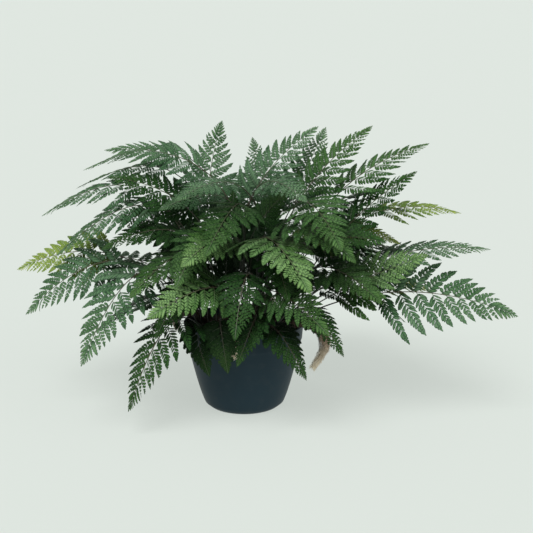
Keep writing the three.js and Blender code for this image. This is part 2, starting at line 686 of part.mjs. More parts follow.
function soilGeometry(fronds) {
  const inset = pot.wall + soil.gap;
  const levels = [12, 50, pot.collarBottom - 3];
  const top = [1, 0.75, 0.45].map((share) => {
    const r = share * (pot.collarRadius + 0.4 - inset);
    return [r, soilTop(r, 0)];
  });
  const profile = [
    [0, pot.floor + soil.gap],
    [pot.footRadius - soil.gap, pot.floor + soil.gap],
    ...levels.map((z) => [potRadius(z) - inset, z]),
    ...top,
    [0, soilTop(0, 0)],
  ];
  let solid = solidOf(lathe(profile, pot.sides));
  const radius = (leaf.stipeHalf * Math.SQRT2 + clearance) / Math.cos(Math.PI / soil.holeSides);
  for (const p of new Map(fronds.map((f) => [f.node, f.spine.base])).values()) {
    const depth = leaf.pegDepth + clearance;
    const hole = new THREE.CylinderGeometry(radius, radius, 2 * depth, soil.holeSides);
    hole.rotateX(Math.PI / 2);
    hole.translate(p[0], p[1], p[2]);
    solid = solid.subtract(solidOf(hole));
  }
  return geometryFrom(solid);
}

// The rings round a rhizome: blunt at its root end, thickest in the middle, rounded towards its hanging tip.
function rhizomeRings({ item, path }, mesh) {
  const last = path.length - 1;
  const rings = [];
  let side = [0, 0, 1];
  for (let i = 0; i <= last; i += rhizomeStep / 2) {
    const along = unit(sub(path[Math.min(i + 1, last)], path[Math.max(i - 1, 0)]));
    side = unit(sub(side, mul(along, dot(side, along))));
    const other = cross(along, side);
    const share = i / last;
    const r = item.radius * Math.min(0.75 + 4 * share, 1, 0.35 + 3 * (1 - share));
    const ring = [];
    for (let k = 0; k < rhizomeSides; k++) {
      const a = (2 * Math.PI * k) / rhizomeSides;
      ring.push(mesh.put(add(path[i], add(mul(side, r * Math.cos(a)), mul(other, r * Math.sin(a))))));
    }
    rings.push(ring);
  }
  return rings;
}

function rhizomeGeometry({ item, path }) {
  const mesh = newMesh();
  const rings = rhizomeRings({ item, path }, mesh);
  const last = path.length - 1;
  const ahead = unit(sub(path[last], path[last - 1]));
  const root = mesh.put(path[0]);
  const nose = mesh.put(add(path[last], mul(ahead, item.radius * rhizomeNose)));
  const [first, final] = [rings[0], rings[rings.length - 1]];
  for (let k = 0; k < rhizomeSides; k++) {
    const j = (k + 1) % rhizomeSides;
    for (let i = 0; i + 1 < rings.length; i++) {
      mesh.quad(rings[i][k], rings[i][j], rings[i + 1][j], rings[i + 1][k]);
    }
    mesh.faces.push([root, first[j], first[k]], [nose, final[k], final[j]]);
  }
  return geometryOf(mesh);
}

const paint = (color, roughness) => new THREE.MeshStandardMaterial({ color, roughness, metalness: 0 });
const plastic = paint(0x2b363b, 0.45);
const earth = paint(0x2a1d14, 0.95);
const fur = paint(0xb29a7c, 0.9);
const greens = {
  deep: paint(0x1f4a30, 0.5),
  mid: paint(0x2f6b35, 0.5),
  grey: paint(0x44705a, 0.5),
  fresh: paint(0x4f8f3f, 0.5),
  lime: paint(0x9db548, 0.5),
};

const fern = new THREE.Group();
function place(name, geometry, material) {
  const mesh = new THREE.Mesh(geometry, material);
  mesh.name = name;
  fern.add(mesh);
}

const fronds = layOut();
place("pot", potGeometry(), plastic);
place("soil", soilGeometry(fronds), earth);
for (const entry of rhizomePaths) place(entry.item.name, rhizomeGeometry(entry), fur);

const byNode = new Map();
for (const frond of fronds) byNode.set(frond.node, [...(byNode.get(frond.node) || []), frond]);
for (const [node, group] of byNode) {
  const name = "frond_" + String(node).padStart(2, "0");
  const parts = group.map(frondGeometry);
  const whole = parts.length === 1 ? parts[0] : geometryFrom(parts.map(solidOf).reduce((a, b) => a.add(b)));
  place(name, whole, greens[group[0].tone]);
}

export default fern;
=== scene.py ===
import math
from collections import namedtuple

import bpy
import numpy as np
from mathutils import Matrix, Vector


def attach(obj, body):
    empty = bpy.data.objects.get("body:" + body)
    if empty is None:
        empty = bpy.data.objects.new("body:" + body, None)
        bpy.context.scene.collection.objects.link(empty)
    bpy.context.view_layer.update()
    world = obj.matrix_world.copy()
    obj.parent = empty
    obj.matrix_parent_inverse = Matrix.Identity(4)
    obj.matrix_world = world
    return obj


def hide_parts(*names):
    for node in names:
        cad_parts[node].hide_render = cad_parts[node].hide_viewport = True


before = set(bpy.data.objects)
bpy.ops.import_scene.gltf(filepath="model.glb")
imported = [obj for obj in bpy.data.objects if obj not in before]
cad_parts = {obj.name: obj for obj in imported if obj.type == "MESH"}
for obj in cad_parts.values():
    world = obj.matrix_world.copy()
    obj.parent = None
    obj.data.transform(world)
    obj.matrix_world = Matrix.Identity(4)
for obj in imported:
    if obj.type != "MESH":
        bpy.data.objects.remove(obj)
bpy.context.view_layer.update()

# Pot and soil.
POT_HEIGHT = 138.0
POT_FOOT_RADIUS = 58.0
POT_WALL_START = 61.0
POT_WALL_SPREAD = 32.0
POT_WALL_POWER = 0.73
COLLAR_BOTTOM = 112.0
COLLAR_RADIUS = 93.5
RIM_RADIUS = 95.5
LIP_OUT = 1.5
POT_WALL = 1.8
POT_FLOOR = 2.2
DRAIN_HOLES = 6
DRAIN_RADIUS = 5.0
DRAIN_CIRCLE = 42.0
SOIL_RIM_LEVEL = 124.0
SOIL_CROWN = 6.0
SOIL_GAP = 0.4
CLEARANCE = 0.35

# Frond outline, as in the CAD fronds. Shares are of the blade's length, and angles are in degrees.
PAIRS = 6
BROAD_PAIRS = 1
STIPE_STEPS = 3
LAST_STEP = 0.6  # from the last ring of a stipe to its blade, in steps
PEG_DEPTH = 9.0
FIRST_STATION = 0.02
LAST_STATION = 0.92
STATION_POWER = 1.35
ALTERNATE = 0.018
PINNA_REACH = 0.47
PINNA_POWER = 0.86
PINNA_ANGLE = (64.0, 34.0)
SHOULDER_AT = 0.32
SHOULDER_FILL = 0.94
LOWEST_EXTRA = 1.5
ARCH = 0.3

# Rhizomes: name, radius, and the points that each one runs through from its root end to its tip. Points
# without a height lie on the soil.
RHIZOMES = [
    ("rhizome_right", 9, [(26, -18), (58, -33), (80, -42, 148.5), (101, -51, 150.5), (120, -62, 141),
                          (126, -74, 117), (108, -84, 88)]),
    ("rhizome_front", 6.5, [(-14, -30), (-12, -62), (-12, -86, 146), (-13, -102, 147), (-14, -112, 136),
                            (-12, -110, 114)]),
    ("rhizome_left", 7.5, [(-26, 4), (-56, 12), (-82, 15, 147.5), (-101, 20, 147), (-112, 26, 136),
                           (-110, 32, 116)]),
    ("rhizome_back", 8, [(2, 26), (14, 56), (24, 86, 148), (33, 102, 147.5), (42, 112, 136),
                         (42, 111, 112)]),
]
RHIZOME_STEP = 8

# Fronds placed one by one: neck, tip, roll about the rachis, and colour.
SEEN = [
    ((23, -55, 284), (99, -205, 238), 0, "fresh"),
    ((26, -85, 206), (127, -190, 172), 25, "mid"),
    ((-17, -85, 208), (-138, -175, 193), -35, "fresh"),
    ((-11, -60, 288), (-88, -175, 266), -20, "fresh"),
    ((63, -45, 310), (165, -160, 271), 20, "mid"),
    ((-5, -30, 333), (-54, -140, 275), 0, "mid"),
    ((106, -45, 235), (208, -140, 205), 15, "mid"),
    ((-73, -50, 254), (-168, -140, 208), -15, "mid"),
    ((20, -40, 290), (75, -40, 352), 45, "mid"),
    ((-82, -78, 165), (-172, -150, 40), 0, "deep"),
    ((-34, -105, 172), (-22, -132, 94), 0, "mid"),
    ((-66, -92, 165), (-50, -130, 96), 0, "deep"),
    ((34, -104, 165), (96, -150, 90), 0, "deep"),
    ((20, -100, 172), (-8, -132, 108), 0, "deep"),
    ((80, -95, 185), (150, -165, 132), 0, "deep"),
    ((10, -98, 240), (-10, -180, 160), 0, "deep"),
    ((-48, -85, 240), (-80, -160, 165), -10, "deep"),
    ((70, -80, 240), (110, -160, 150), 10, "deep"),
    ((-135, -55, 235), (-240, -150, 112), -20, "grey"),
    ((-190, -20, 245), (-345, -40, 160), -25, "grey"),
    ((-61, 75, 300), (-37, 120, 446), 0, "grey"),
    ((-130, 90, 370), (-284, 120, 331), -5, "grey"),
    ((-110, 120, 390), (-276, 150, 355), -5, "grey"),
    ((-65, 50, 375), (-222, 40, 408), -20, "grey"),
    ((-175, 60, 345), (-335, 80, 292), -15, "grey"),
    ((-215, 10, 246), (-375, 20, 212), -6, "lime"),
    ((-140, 30, 325), (-303, 50, 241), -30, "grey"),
    ((-64, -12, 176), (-66, 34, 265), 0, "deep"),
    ((-24, -16, 176), (-22, 34, 270), 0, "deep"),
    ((18, -14, 176), (22, 36, 268), 0, "deep"),
    ((62, -12, 176), (68, 38, 265), 0, "deep"),
    ((-20, 26, 232), (-16, 70, 338), 0, "deep"),
    ((30, 26, 232), (36, 70, 338), 0, "deep"),
    ((34, 105, 300), (12, 150, 414), 0, "grey"),
    ((10, 50, 330), (121, 85, 443), 30, "grey"),
    ((80, 80, 300), (134, 125, 430), 10, "grey"),
    ((95, 20, 340), (206, 60, 443), 25, "mid"),
    ((150, 10, 345), (296, 50, 418), 10, "mid"),
    ((140, -20, 270), (266, -40, 388), 30, "deep"),
    ((215, 20, 312), (350, 40, 306), 8, "lime"),
    ((160, 30, 280), (250, 10, 262), 20, "lime"),
    ((215, 5, 240), (388, -20, 262), 10, "grey"),
    ((205, -35, 198), (425, -60, 170), 32, "grey"),
    ((100, -35, 262), (215, -85, 285), 20, "deep"),
    ((140, -70, 190), (280, -120, 262), 30, "fresh"),
    ((115, -75, 150), (211, -140, 110), 0, "deep"),
    ((-110, -40, 255), (-270, -60, 252), -30, "grey"),
    ((-95, -25, 288), (-215, -85, 275), -20, "deep"),
    ((-85, 15, 270), (-215, 40, 290), -35, "deep"),
    ((-44, -20, 316), (-138, -110, 263), -15, "mid"),
    ((135, -20, 316), (232, -110, 263), 15, "deep"),
    ((88, -20, 347), (144, -120, 299), 10, "mid"),
    ((-42, 24, 180), (-44, 74, 285), 0, "deep"),
    ((0, 26, 180), (2, 80, 300), 0, "deep"),
    ((42, 24, 180), (46, 76, 290), 0, "deep"),
]
# Tiers that fill the mound by rule: count, azimuths, radius and height of the necks and of the tips, how
# far the blades face forward, and colour.
TIERS = [
    (7, -160, -20, (100, 230), (180, 160), 15, "deep"),
    (6, -155, -25, (98, 285), (195, 225), 25, "mid"),
    (6, -165, -15, (45, 355), (140, 335), 35, "grey"),
    (6, 20, 380, (18, 300), (120, 405), 45, "mid"),
    (7, 10, 370, (35, 280), (165, 370), 40, "grey"),
    (10, 0, 180, (165, 220), (350, 205), 0, "mid"),
    (8, 25, 155, (125, 185), (285, 120), 0, "deep"),
    (11, 5, 175, (130, 300), (300, 330), 10, "grey"),
    (12, -185, 5, (90, 260), (250, 290), 30, "mid"),
    (12, -180, 0, (95, 205), (240, 190), 20, "deep"),
    (10, 0, 360, (85, 330), (215, 380), 30, "mid"),
    (14, 0, 360, (110, 240), (270, 250), 20, "deep"),
    (14, 0, 360, (60, 220), (190, 270), 30, "deep"),
    (14, 0, 360, (50, 280), (190, 330), 30, "mid"),
]
TIER_SEED = 20250117
DRAW_FACTOR = 1664525
DRAW_STEP = 1013904223
DRAW_RANGE = 2**32
SPREAD_AZIMUTH = 8
SPREAD_RADIUS = 0.12
SPREAD_HEIGHT = 18
SPREAD_TURN = 16
SPREAD_ROLL = 14
MOST_FRONDS = 80
MOUND_MIDDLE = (15, 0, 185)
MOUND_WIDE = 365
MOUND_ABOVE = 262
MOUND_BELOW = 190

# Feet of the fronds, and how the search moves a frond until it is clear.
BASE_COUNT = 90
BASE_RADIUS = 76
BASE_RISE = 7
BASE_NODES = 54
BASE_MARGIN = 12
GOLDEN_ANGLE = 2.399963
FORK = 45  # two fronds of one foot may touch up to here
FOOT_SHARE = (0.75, 0.3)
FOOT_RANGE = (8, 70)
NECK_LOW = 150
NECK_RISE = 220
TRIES = 360
FEET = 4
SHIFT = 7
TURN_STEP = 2
LIFT = 7
SEEN_LIFT = LIFT / 3
ROLL_STEP = 5
ROLL_TURN = 1.7
CELL = 3.0
SPACING = 0.011
GRID_HALF = 480
GRID_TOP = 520
FREE, SHARED = 0, -1  # owners of cells that no node has taken, and of those that two have
CHORD_POINTS = 40
GROUND = 8
POT_MARGIN = 3
RHIZOME_MARGIN = 3
FOOT_MARGIN = 4
SOIL_MARGIN = 5
FREE_FOOT = (8, 16)  # this near to its foot a frond may pass anything, and this near the rhizomes
ARC_STEPS = 48


# Vectors are arrays whose last axis holds x, y and z.
def length(a):
    return np.sqrt((a * a).sum(-1))


def unit(a):
    return a * (1 / length(a))[..., None]


def mix(a, b, t):
    return a + (b - a) * t


def turned(p, angle):
    c, s = np.cos(angle), np.sin(angle)
    return np.stack([p[0] * c - p[1] * s, p[0] * s + p[1] * c, p[2] + 0 * c], -1)


def draws(seed):
    """Seeded draws from -1 to 1, by the usual 32-bit linear rule."""
    state = seed
    while True:
        state = (state * DRAW_FACTOR + DRAW_STEP) % DRAW_RANGE
        yield 2 * (state / DRAW_RANGE) - 1


def pot_radius(z):
    collar = mix(COLLAR_RADIUS, RIM_RADIUS, (z - COLLAR_BOTTOM) / (POT_HEIGHT - COLLAR_BOTTOM))
    wall = POT_WALL_START + POT_WALL_SPREAD * (np.maximum(z, 0) / COLLAR_BOTTOM) ** POT_WALL_POWER
    return np.where(z >= COLLAR_BOTTOM, collar, wall)


def soil_top(x, y):
    r = np.sqrt(x * x + y * y) / COLLAR_RADIUS
    return SOIL_RIM_LEVEL + SOIL_CROWN * (1 - r * r)


def rhizome_path(radius, through):
    """A smooth line through the rhizome's points that doesn't sink into the soil."""
    knots = []
    for p in through:
        z = p[2] if len(p) > 2 else soil_top(p[0], p[1]) + radius + CLEARANCE
        knots.append(np.array([p[0], p[1], z], float))
    path = []
    for i in range(len(knots) - 1):
        a, b, c, d = knots[max(i - 1, 0)], knots[i], knots[i + 1], knots[min(i + 2, len(knots) - 1)]
        for j in range(RHIZOME_STEP):
            t = j / RHIZOME_STEP
            bend = 2 * a - 5 * b + 4 * c - d + t * (3 * (b - c) + d - a)
            path.append(b + 0.5 * t * (c - a + t * bend))
    path.append(knots[-1])
    path = np.array(path)
    inside = path[:, 0] ** 2 + path[:, 1] ** 2 < COLLAR_RADIUS**2
    lowest = soil_top(path[:, 0], path[:, 1]) + radius + CLEARANCE
    path[:, 2] = np.where(inside, np.maximum(path[:, 2], lowest), path[:, 2])
    return path


PATHS = [(name, radius, rhizome_path(radius, through)) for name, radius, through in RHIZOMES]


class Spines:
    """Centre lines of one or more fronds: parabolas from the base through the neck to the tip."""

    def __init__(self, base, neck, tip):
        lower = length(neck - base)
        upper = length(tip - neck)
        t = (lower / (lower + upper))[:, None]
        self.base, self.tip = base, tip
        self.bend = (neck - base * ((1 - t) * (1 - t)) - tip * (t * t)) * (1 / (2 * t * (1 - t)))
        marks = np.broadcast_to(np.arange(ARC_STEPS + 1) / ARC_STEPS, (len(base), ARC_STEPS + 1))
        reach = length(np.diff(self.at(marks), axis=1))
        self.arc = np.concatenate([np.zeros((len(base), 1)), np.cumsum(reach, axis=1)], axis=1)
        self.whole = self.arc[:, -1]
        self.neck_arc = self.arc[np.arange(len(base)), np.floor(t[:, 0] * ARC_STEPS).astype(int)]
        self.blade = self.whole - self.neck_arc
        level = np.zeros(len(base))
        self.side = unit(np.stack([-(tip[:, 1] - base[:, 1]), tip[:, 0] - base[:, 0], level], -1))

    def at(self, s):
        s = s[..., None]
        base, bend, tip = self.base[:, None], self.bend[:, None], self.tip[:, None]
        return base * ((1 - s) * (1 - s)) + bend * (2 * s * (1 - s)) + tip * (s * s)

    def frames(self, distance, roll):
        """Point, tangent, side and normal at distances along each line, rolled about the tangent."""
        below = (self.arc[:, None, 1:-1] < distance[:, :, None]).sum(-1)
        first = np.take_along_axis(self.arc, below, 1)
        after = np.take_along_axis(self.arc, below + 1, 1)
        t = (below + (distance - first) / (after - first)) / ARC_STEPS
        end = np.minimum(t, 1)[..., None]
        start, finish = (self.bend - self.base)[:, None], (self.tip - self.bend)[:, None]
        along = unit(start * (1 - end) + finish * end)
        beyond = np.maximum(distance - self.whole[:, None], 0)[..., None]
        point = self.at(end[..., 0]) + along * beyond
        side = self.side[:, None]
        flat = unit(side - along * (side * along).sum(-1)[..., None])
        above = np.cross(along, flat)
        c, s = np.cos(roll)[..., None], np.sin(roll)[..., None]
        return point, along, flat * c + above * s, above * c - flat * s

    def blade_points(self, roll, u, v, w):
        """Points of each blade: u along the rachis from the neck, v to the side, w above its surface."""
        point, _, side, normal = self.frames(self.neck_arc[:, None] + u, roll)
        sag = ARCH * v * v / self.blade[:, None]
        return point + side * v[..., None] + normal * (w - sag)[..., None]


def on_pinna(root, reach, angle, share, aside):
    """A point of the flat blade at this share of a pinna's reach, and aside of the pinna's middle line."""
    u = root + reach * share * math.cos(angle) - aside * math.sin(angle)
    return (u, reach * share * math.sin(angle) + aside * math.cos(angle))


def blade_outline():
    """Stations on the rachis, and the lower shoulder, tip and upper shoulder of each pinna."""
    share = 1 - (1 - np.arange(PAIRS + 1) / PAIRS) ** STATION_POWER
    stations = FIRST_STATION + (LAST_STATION - FIRST_STATION) * share
    pinnae = []
    for k in range(PAIRS):
        root = (stations[k] + stations[k + 1]) / 2
        angle = math.radians(mix(*PINNA_ANGLE, root))
        reach = PINNA_REACH * (1 - root) ** PINNA_POWER
        half = (stations[k + 1] - stations[k]) * math.sin(angle) * SHOULDER_FILL / 2
        tip = on_pinna(root, reach, angle, 1, 0)
        lower = on_pinna(root, reach, angle, SHOULDER_AT, half * (1 if k else LOWEST_EXTRA))
        upper = on_pinna(root, reach, angle, SHOULDER_AT, -half)
        pinnae.append([lower, tip, upper] if k < BROAD_PAIRS else [tip])
    return stations, pinnae


class Outline:
    """The flat blade's corners, and points all over its triangles as shares of three corners."""

    def __init__(self):
        self.corners, self.picks, self.shares = [], [], []
        stations, pinnae = blade_outline()
        for way in (1, -1):
            low = self.corner((stations[0], 0), way)
            for k, pinna in enumerate(pinnae):
                high = self.corner((stations[k + 1], 0), way)
                ends = [self.corner(q, way) for q in pinna] + [high]
                for i in range(len(ends) - 1):
                    self.fill(low, ends[i], ends[i + 1])
                low = high
            self.fill(low, self.corner((1, 0), way), low)
        self.corners, self.picks, self.shares = map(np.array, (self.corners, self.picks, self.shares))

    def corner(self, q, way):
        self.corners.append((q[0] - way * ALTERNATE, way * q[1]))
        return len(self.corners) - 1

    def fill(self, a, b, c):
        p, q, r = (np.array(self.corners[k]) for k in (a, b, c))
        far = max(np.hypot(*(p - q)), np.hypot(*(q - r)), np.hypot(*(r - p)))
        n = math.ceil(far / SPACING)
        for i in range(n + 1):
            for j in range(n + 1 - i):
                self.picks.append((a, b, c))
                self.shares.append((i / n, j / n, (n - i - j) / n))

    def between(self, placed):
        """The points all over the triangles, for corners placed in space."""
        return sum(placed[self.picks[:, k]] * self.shares[:, k, None] for k in range(3))


OUTLINE = Outline()
ACROSS = math.ceil(2 * GRID_HALF / CELL)
UPWARD = math.ceil(GRID_TOP / CELL)
RHIZOME_TOP = max(path[:, 2].max() + radius for _, radius, path in PATHS) + 2 * RHIZOME_MARGIN


def cell_of(p):
    """The number of the cell that each point is in."""
    x = np.floor((p[..., 0] + GRID_HALF) / CELL).astype(int)
    y = np.floor((p[..., 1] + GRID_HALF) / CELL).astype(int)
    z = np.floor(p[..., 2] / CELL).astype(int)
    return np.clip((x * ACROSS + y) * UPWARD + z, 0, ACROSS * ACROSS * UPWARD - 1)


def hits_pot(p):
    r = np.hypot(p[..., 0], p[..., 1])
    near = r < pot_radius(p[..., 2]) + LIP_OUT + POT_MARGIN
    return (p[..., 2] < GROUND) | ((p[..., 2] <= POT_HEIGHT + POT_MARGIN) & near)


def hits_rhizome(p, margin):
    hit = np.zeros(p.shape[:-1], bool)
    low = p[..., 2] < RHIZOME_TOP
    some = p[low]
    close = np.zeros(len(some), bool)
    for _, radius, path in PATHS:
        gaps = some[:, None] - path
        close |= ((gaps * gaps).sum(-1) < (radius + margin) ** 2).any(-1)
    hit[low] = close
    return hit


def leaves_mound(p):
    d = p - np.array(MOUND_MIDDLE)
    high = d[..., 2] / np.where(d[..., 2] > 0, MOUND_ABOVE, MOUND_BELOW)
    return (d[..., 0] ** 2 + d[..., 1] ** 2) / MOUND_WIDE**2 + high * high > 1


def is_clear(p, taken, base, own):
    r = np.hypot(p[..., 0], p[..., 1])
    foot = length(p - base)
    over_soil = r < BASE_RADIUS + BASE_MARGIN
    low = over_soil & (p[..., 2] < soil_top(p[..., 0], p[..., 1]) + SOIL_MARGIN)
    blocked = low | (~over_soil & hits_pot(p)) | ((foot > FREE_FOOT[1]) & hits_rhizome(p, RHIZOME_MARGIN))
    owner = taken[cell_of(p)]
    free = (owner == FREE) | ((owner == own) & (foot < FORK))
    return (foot < FREE_FOOT[0]) | (free & ~blocked)


def mark(points, taken, own):
    """Takes the cells of these points and the cells round them."""
    cells = np.unique(cell_of(points))
    step = np.array([-1, 0, 1])
    around = (step[:, None, None] * ACROSS * UPWARD + step[None, :, None] * UPWARD + step).ravel()
    cells = np.unique(cells[:, None] + around)
    owner = taken[cells]
    taken[cells] = np.where((owner == FREE) | (owner == own), own, SHARED)


class Foot:
    """A place in the soil from which the fronds of one node rise."""

    def __init__(self, place):
        self.place, self.node, self.fronds = place, None, 0


Wish = namedtuple("Wish", "neck tip roll tone seen")
Frond = namedtuple("Frond", "spine roll tone node foot")


def all_feet():
    feet = []
    for i in range(BASE_COUNT):
        r = BASE_RADIUS * math.sqrt((i + 0.5) / BASE_COUNT)
        p = turned((r, 0, soil_top(r, 0)), i * GOLDEN_ANGLE)
        if not hits_rhizome((p + np.array([0, 0, BASE_RISE]))[None], FOOT_MARGIN)[0]:
            feet.append(Foot(p))
    return feet


def all_wishes():
    """Every frond that is wanted, in order: first those listed one by one, then the tiers."""
    for row in SEEN:
        yield Wish(*row, seen=True)
    random = draws(TIER_SEED)
    for count, start, end, neck, tip, face, tone in TIERS:
        for i in range(count):
            azimuth = mix(start, end, (i + 0.5) / count) + SPREAD_AZIMUTH * next(random)
            wide = 1 + SPREAD_RADIUS * next(random)
            high = SPREAD_HEIGHT * next(random)
            turn = SPREAD_TURN * next(random)
            roll = face * math.cos(math.radians(azimuth)) + SPREAD_ROLL * next(random)
            near = turned((neck[0] * wide, 0, neck[1] + high), math.radians(azimuth))
            far = turned((tip[0] * wide, 0, tip[1] + high), math.radians(azimuth + turn))
            yield Wish(near, far, roll, tone, seen=False)


def feet_for(wish, feet, nodes):
    """The nearest free feet, or the nearest with one frond once all nodes are in use."""
    x, y, z = wish.neck
    out = math.hypot(x, y)
    share = mix(*FOOT_SHARE, (z - NECK_LOW) / NECK_RISE)
    wanted = min(FOOT_RANGE[1], max(FOOT_RANGE[0], out * share)) / out
    fits = [foot for foot in feet if foot.fronds == (0 if nodes < BASE_NODES else 1)]
    fits.sort(key=lambda foot: (foot.place[0] - x * wanted) ** 2 + (foot.place[1] - y * wanted) ** 2)
    return fits[:FEET]


def nudged(wish):
    """Every place that the search tries for a wished frond, nearest first."""
    n = np.arange(TRIES)
    far = np.sqrt(n / FEET)
    a = GOLDEN_ANGLE * n
    roll = np.radians(wish.roll + ROLL_STEP * far * np.sin(ROLL_TURN * n))
    zero = np.zeros(TRIES)
    if wish.seen:
        shift = SHIFT * far * np.cos(a)
        lift = SEEN_LIFT * far * np.sin(a)
        neck = np.array(wish.neck) + np.stack([zero, shift / 2, lift], -1)
        return roll, neck, np.array(wish.tip) + np.stack([zero, shift, lift], -1)
    turn = math.radians(TURN_STEP) * far * np.cos(a)
    lift = LIFT * far * np.sin(a)
    neck = turned(wish.neck, turn) + np.stack([zero, zero, lift / 2], -1)
    return roll, neck, turned(wish.tip, turn) + np.stack([zero, zero, lift], -1)


def stipe_points(spines):
    """Points along each stipe as the CAD part has it, in straight lines between a few rings."""
    shares = np.array([0, *(np.arange(1, STIPE_STEPS + 1) / (STIPE_STEPS + LAST_STEP)), 1])
    distance = spines.neck_arc[:, None] * shares
    rings = spines.frames(distance, 0 * distance)[0]
    t = np.arange(CHORD_POINTS)[:, None] / CHORD_POINTS
    return mix(rings[:, :-1, None], rings[:, 1:, None], t).reshape(len(rings), -1, 3)


def first_clear(wish, feet, nodes, taken):
    """The frond at the first tried place where its stipe and its blade are clear, or None."""
    roll, neck, tip = nudged(wish)
    which = np.arange(TRIES) % len(feet)
    base = np.array([foot.place for foot in feet])[which]
    own = np.array([foot.node if foot.fronds else nodes + 1 for foot in feet])[which]
    stipe = stipe_points(Spines(base, neck, tip))
    rows = np.flatnonzero(is_clear(stipe, taken, base[:, None], own[:, None]).all(1))
    some = Spines(base[rows], neck[rows], tip[rows])
    u, v = (OUTLINE.corners[:, k] * some.blade[:, None] for k in (0, 1))
    placed = some.blade_points(roll[rows][:, None], u, v, 0 * u)
    clear = is_clear(placed, taken, base[rows][:, None], own[rows][:, None])
    if not wish.seen:
        clear &= ~leaves_mound(placed)
    for k in np.flatnonzero(clear.all(1)):
        n = rows[k]
        blade = OUTLINE.between(placed[k])
        if is_clear(blade, taken, base[n], own[n]).all():
            mark(np.concatenate([stipe[n], blade]), taken, own[n])
            spine = Spines(base[[n]], neck[[n]], tip[[n]])
            return Frond(spine, roll[n], wish.tone, int(own[n]), feet[which[n]])
    return None


def lay_out():
    """Gives each frond its foot, its node and a clear place, just as the CAD part does."""
    feet = all_feet()
    taken = np.full(ACROSS * ACROSS * UPWARD, FREE, np.int16)
    fronds = []
    nodes = 0
    for wish in all_wishes():
        if len(fronds) == MOST_FRONDS:
            break
        frond = first_clear(wish, feet_for(wish, feet, nodes), nodes, taken)
        if frond:
            nodes = max(nodes, frond.node)
            frond.foot.node = frond.node
            frond.foot.fronds += 1
            fronds.append(frond)
    return fronds


# The fine frond. Where its pinnae are rooted, and how each one is built.
BIG_PINNAE = [0.035, 0.155, 0.270, 0.375, 0.470, 0.555, 0.630, 0.695, 0.750]
SMALL_PINNAE = [0.800, 0.842, 0.877, 0.906, 0.929, 0.948, 0.963]
BEFORE_FIRST = 0.095
AFTER_LAST = 0.985
ROOT_SHIFT = 0.012
PINNA_BEND = 13  # a pinna starts this many degrees wider than its mean angle, and ends as many narrower
PINNA_STEPS = 24
PINNA_FILL = (1.28, 2.2)  # share of the room between its neighbours: at the outside and in the heart
PINNA_TAPER = (0.95, 1.6)
LOW_SIDE = (0.5, 0.05, 1.6)  # extra width of the lower side, for roots below which share, and its fading
PINNA_STALK = (0.45, 0.16)
STALK_END = 0.9
STALK_RINGS = 6
STALK_SIDES = 4
STALK_AGE = (0.55, 1.0)
LEAFLET_PAIRS = (11, 4)  # on the lowest and on the last of the big pinnae
FEWEST_PAIRS = 3
FULL_BLADE = 170  # shorter blades have fewer leaflets
LOBED_PINNAE = 4
LEAFLET_START = 0.55
LEAFLET_SHIFT = 0.12
LEAFLET_FILL = (0.85, 1.3)
LEAFLET_LENS = 0.55  # thickness in the middle of a leaflet
LENS_SHARE = 0.11
LEAFLET_ANGLE = (46, 30)
WIDEST = 0.92
SMALLEST = (1.2, 0.9)
CUP = (0.02, 0.07)  # how strongly leaflets curve down at the edges, per millimetre
CUP_ALONG = 0.35
TIP_LOBES = 3  # pairs of merging lobes at a pinna's tip
LOBES_FROM = 0.8
LOBES_TO = 0.97
LOBE_START = 0.2
LOBE_FILL = 1.3
END_LOBE = (0.94, 0.075, 0.035)  # its place, length and width
FROND_END = (0.965, 0.035, 0.012)
SMALL_WIDTH = (1.8, 0.4)
STIPE_RADIUS = (1.25, 0.42)
STIPE_RINGS = 34
STIPE_SIDES = 6
STIPE_PEG = 0.7  # as a share of the peg's depth
STIPE_END = 0.985
STIPE_AGE = (0.75, 1.5)
SWAY = (0.02, 2.2, 6)  # of the rachis: width, angle at the tip, and the most that this is shifted

# How much one pinna or leaflet differs from the next.
ANGLE_SPREAD = 2.5
REACH_SPREAD = (-0.05, 0.02)
DROOP = (-0.015, 0.06)
TWIST_SPREAD = 12
PINNA_TINT = 0.5
LEAN_SPREAD = 3
LENGTH_SPREAD = (-0.08, 0.05)
WIDTH_SPREAD = (-0.06, 0.06)
LEAFLET_TILT = (13, 9)
LEAFLET_TINT = 0.3
SMALL_TILT = 7

# The heart of the mound, and the skirt of leaves that hang beside the pot. Leaves, stalks and fur there
# are painted dark as shade, and the pinnae in the heart grow fuller.
HEART = (15, 0, 215)
HEART_RADII = (300, 190, 220)
HEART_MARK = 0.7
HEART_FILL = (2.2, 0.5)
SKIRT = 0.35
SKIRT_FROM = (215, 215)  # distance from the axis, and height
SKIRT_FADE = (90, 60)

# Half outlines along and across, as shares of length and of width: the lobed leaflet, a plain one, the
# small lobe near a pinna's tip, and the whole small pinna near the frond's tip.
LEAFLET = [(0.0, 0.08), (0.15, 0.28), (0.34, 0.43), (0.54, 0.5), (0.6, 0.41), (0.77, 0.42), (0.82, 0.28),
           (0.94, 0.2)]
PLAIN_LEAFLET = [(0.0, 0.1), (0.3, 0.42), (0.58, 0.5), (0.85, 0.33)]
LOBE = [(0.0, 0.2), (0.4, 0.48), (0.78, 0.36)]
SMALL_PINNA = [(0.0, 0.2), (0.08, 0.36), (0.2, 0.5), (0.26, 0.4), (0.37, 0.5), (0.43, 0.38), (0.54, 0.46),
               (0.6, 0.33), (0.71, 0.38), (0.77, 0.25), (0.87, 0.27), (0.92, 0.14)]


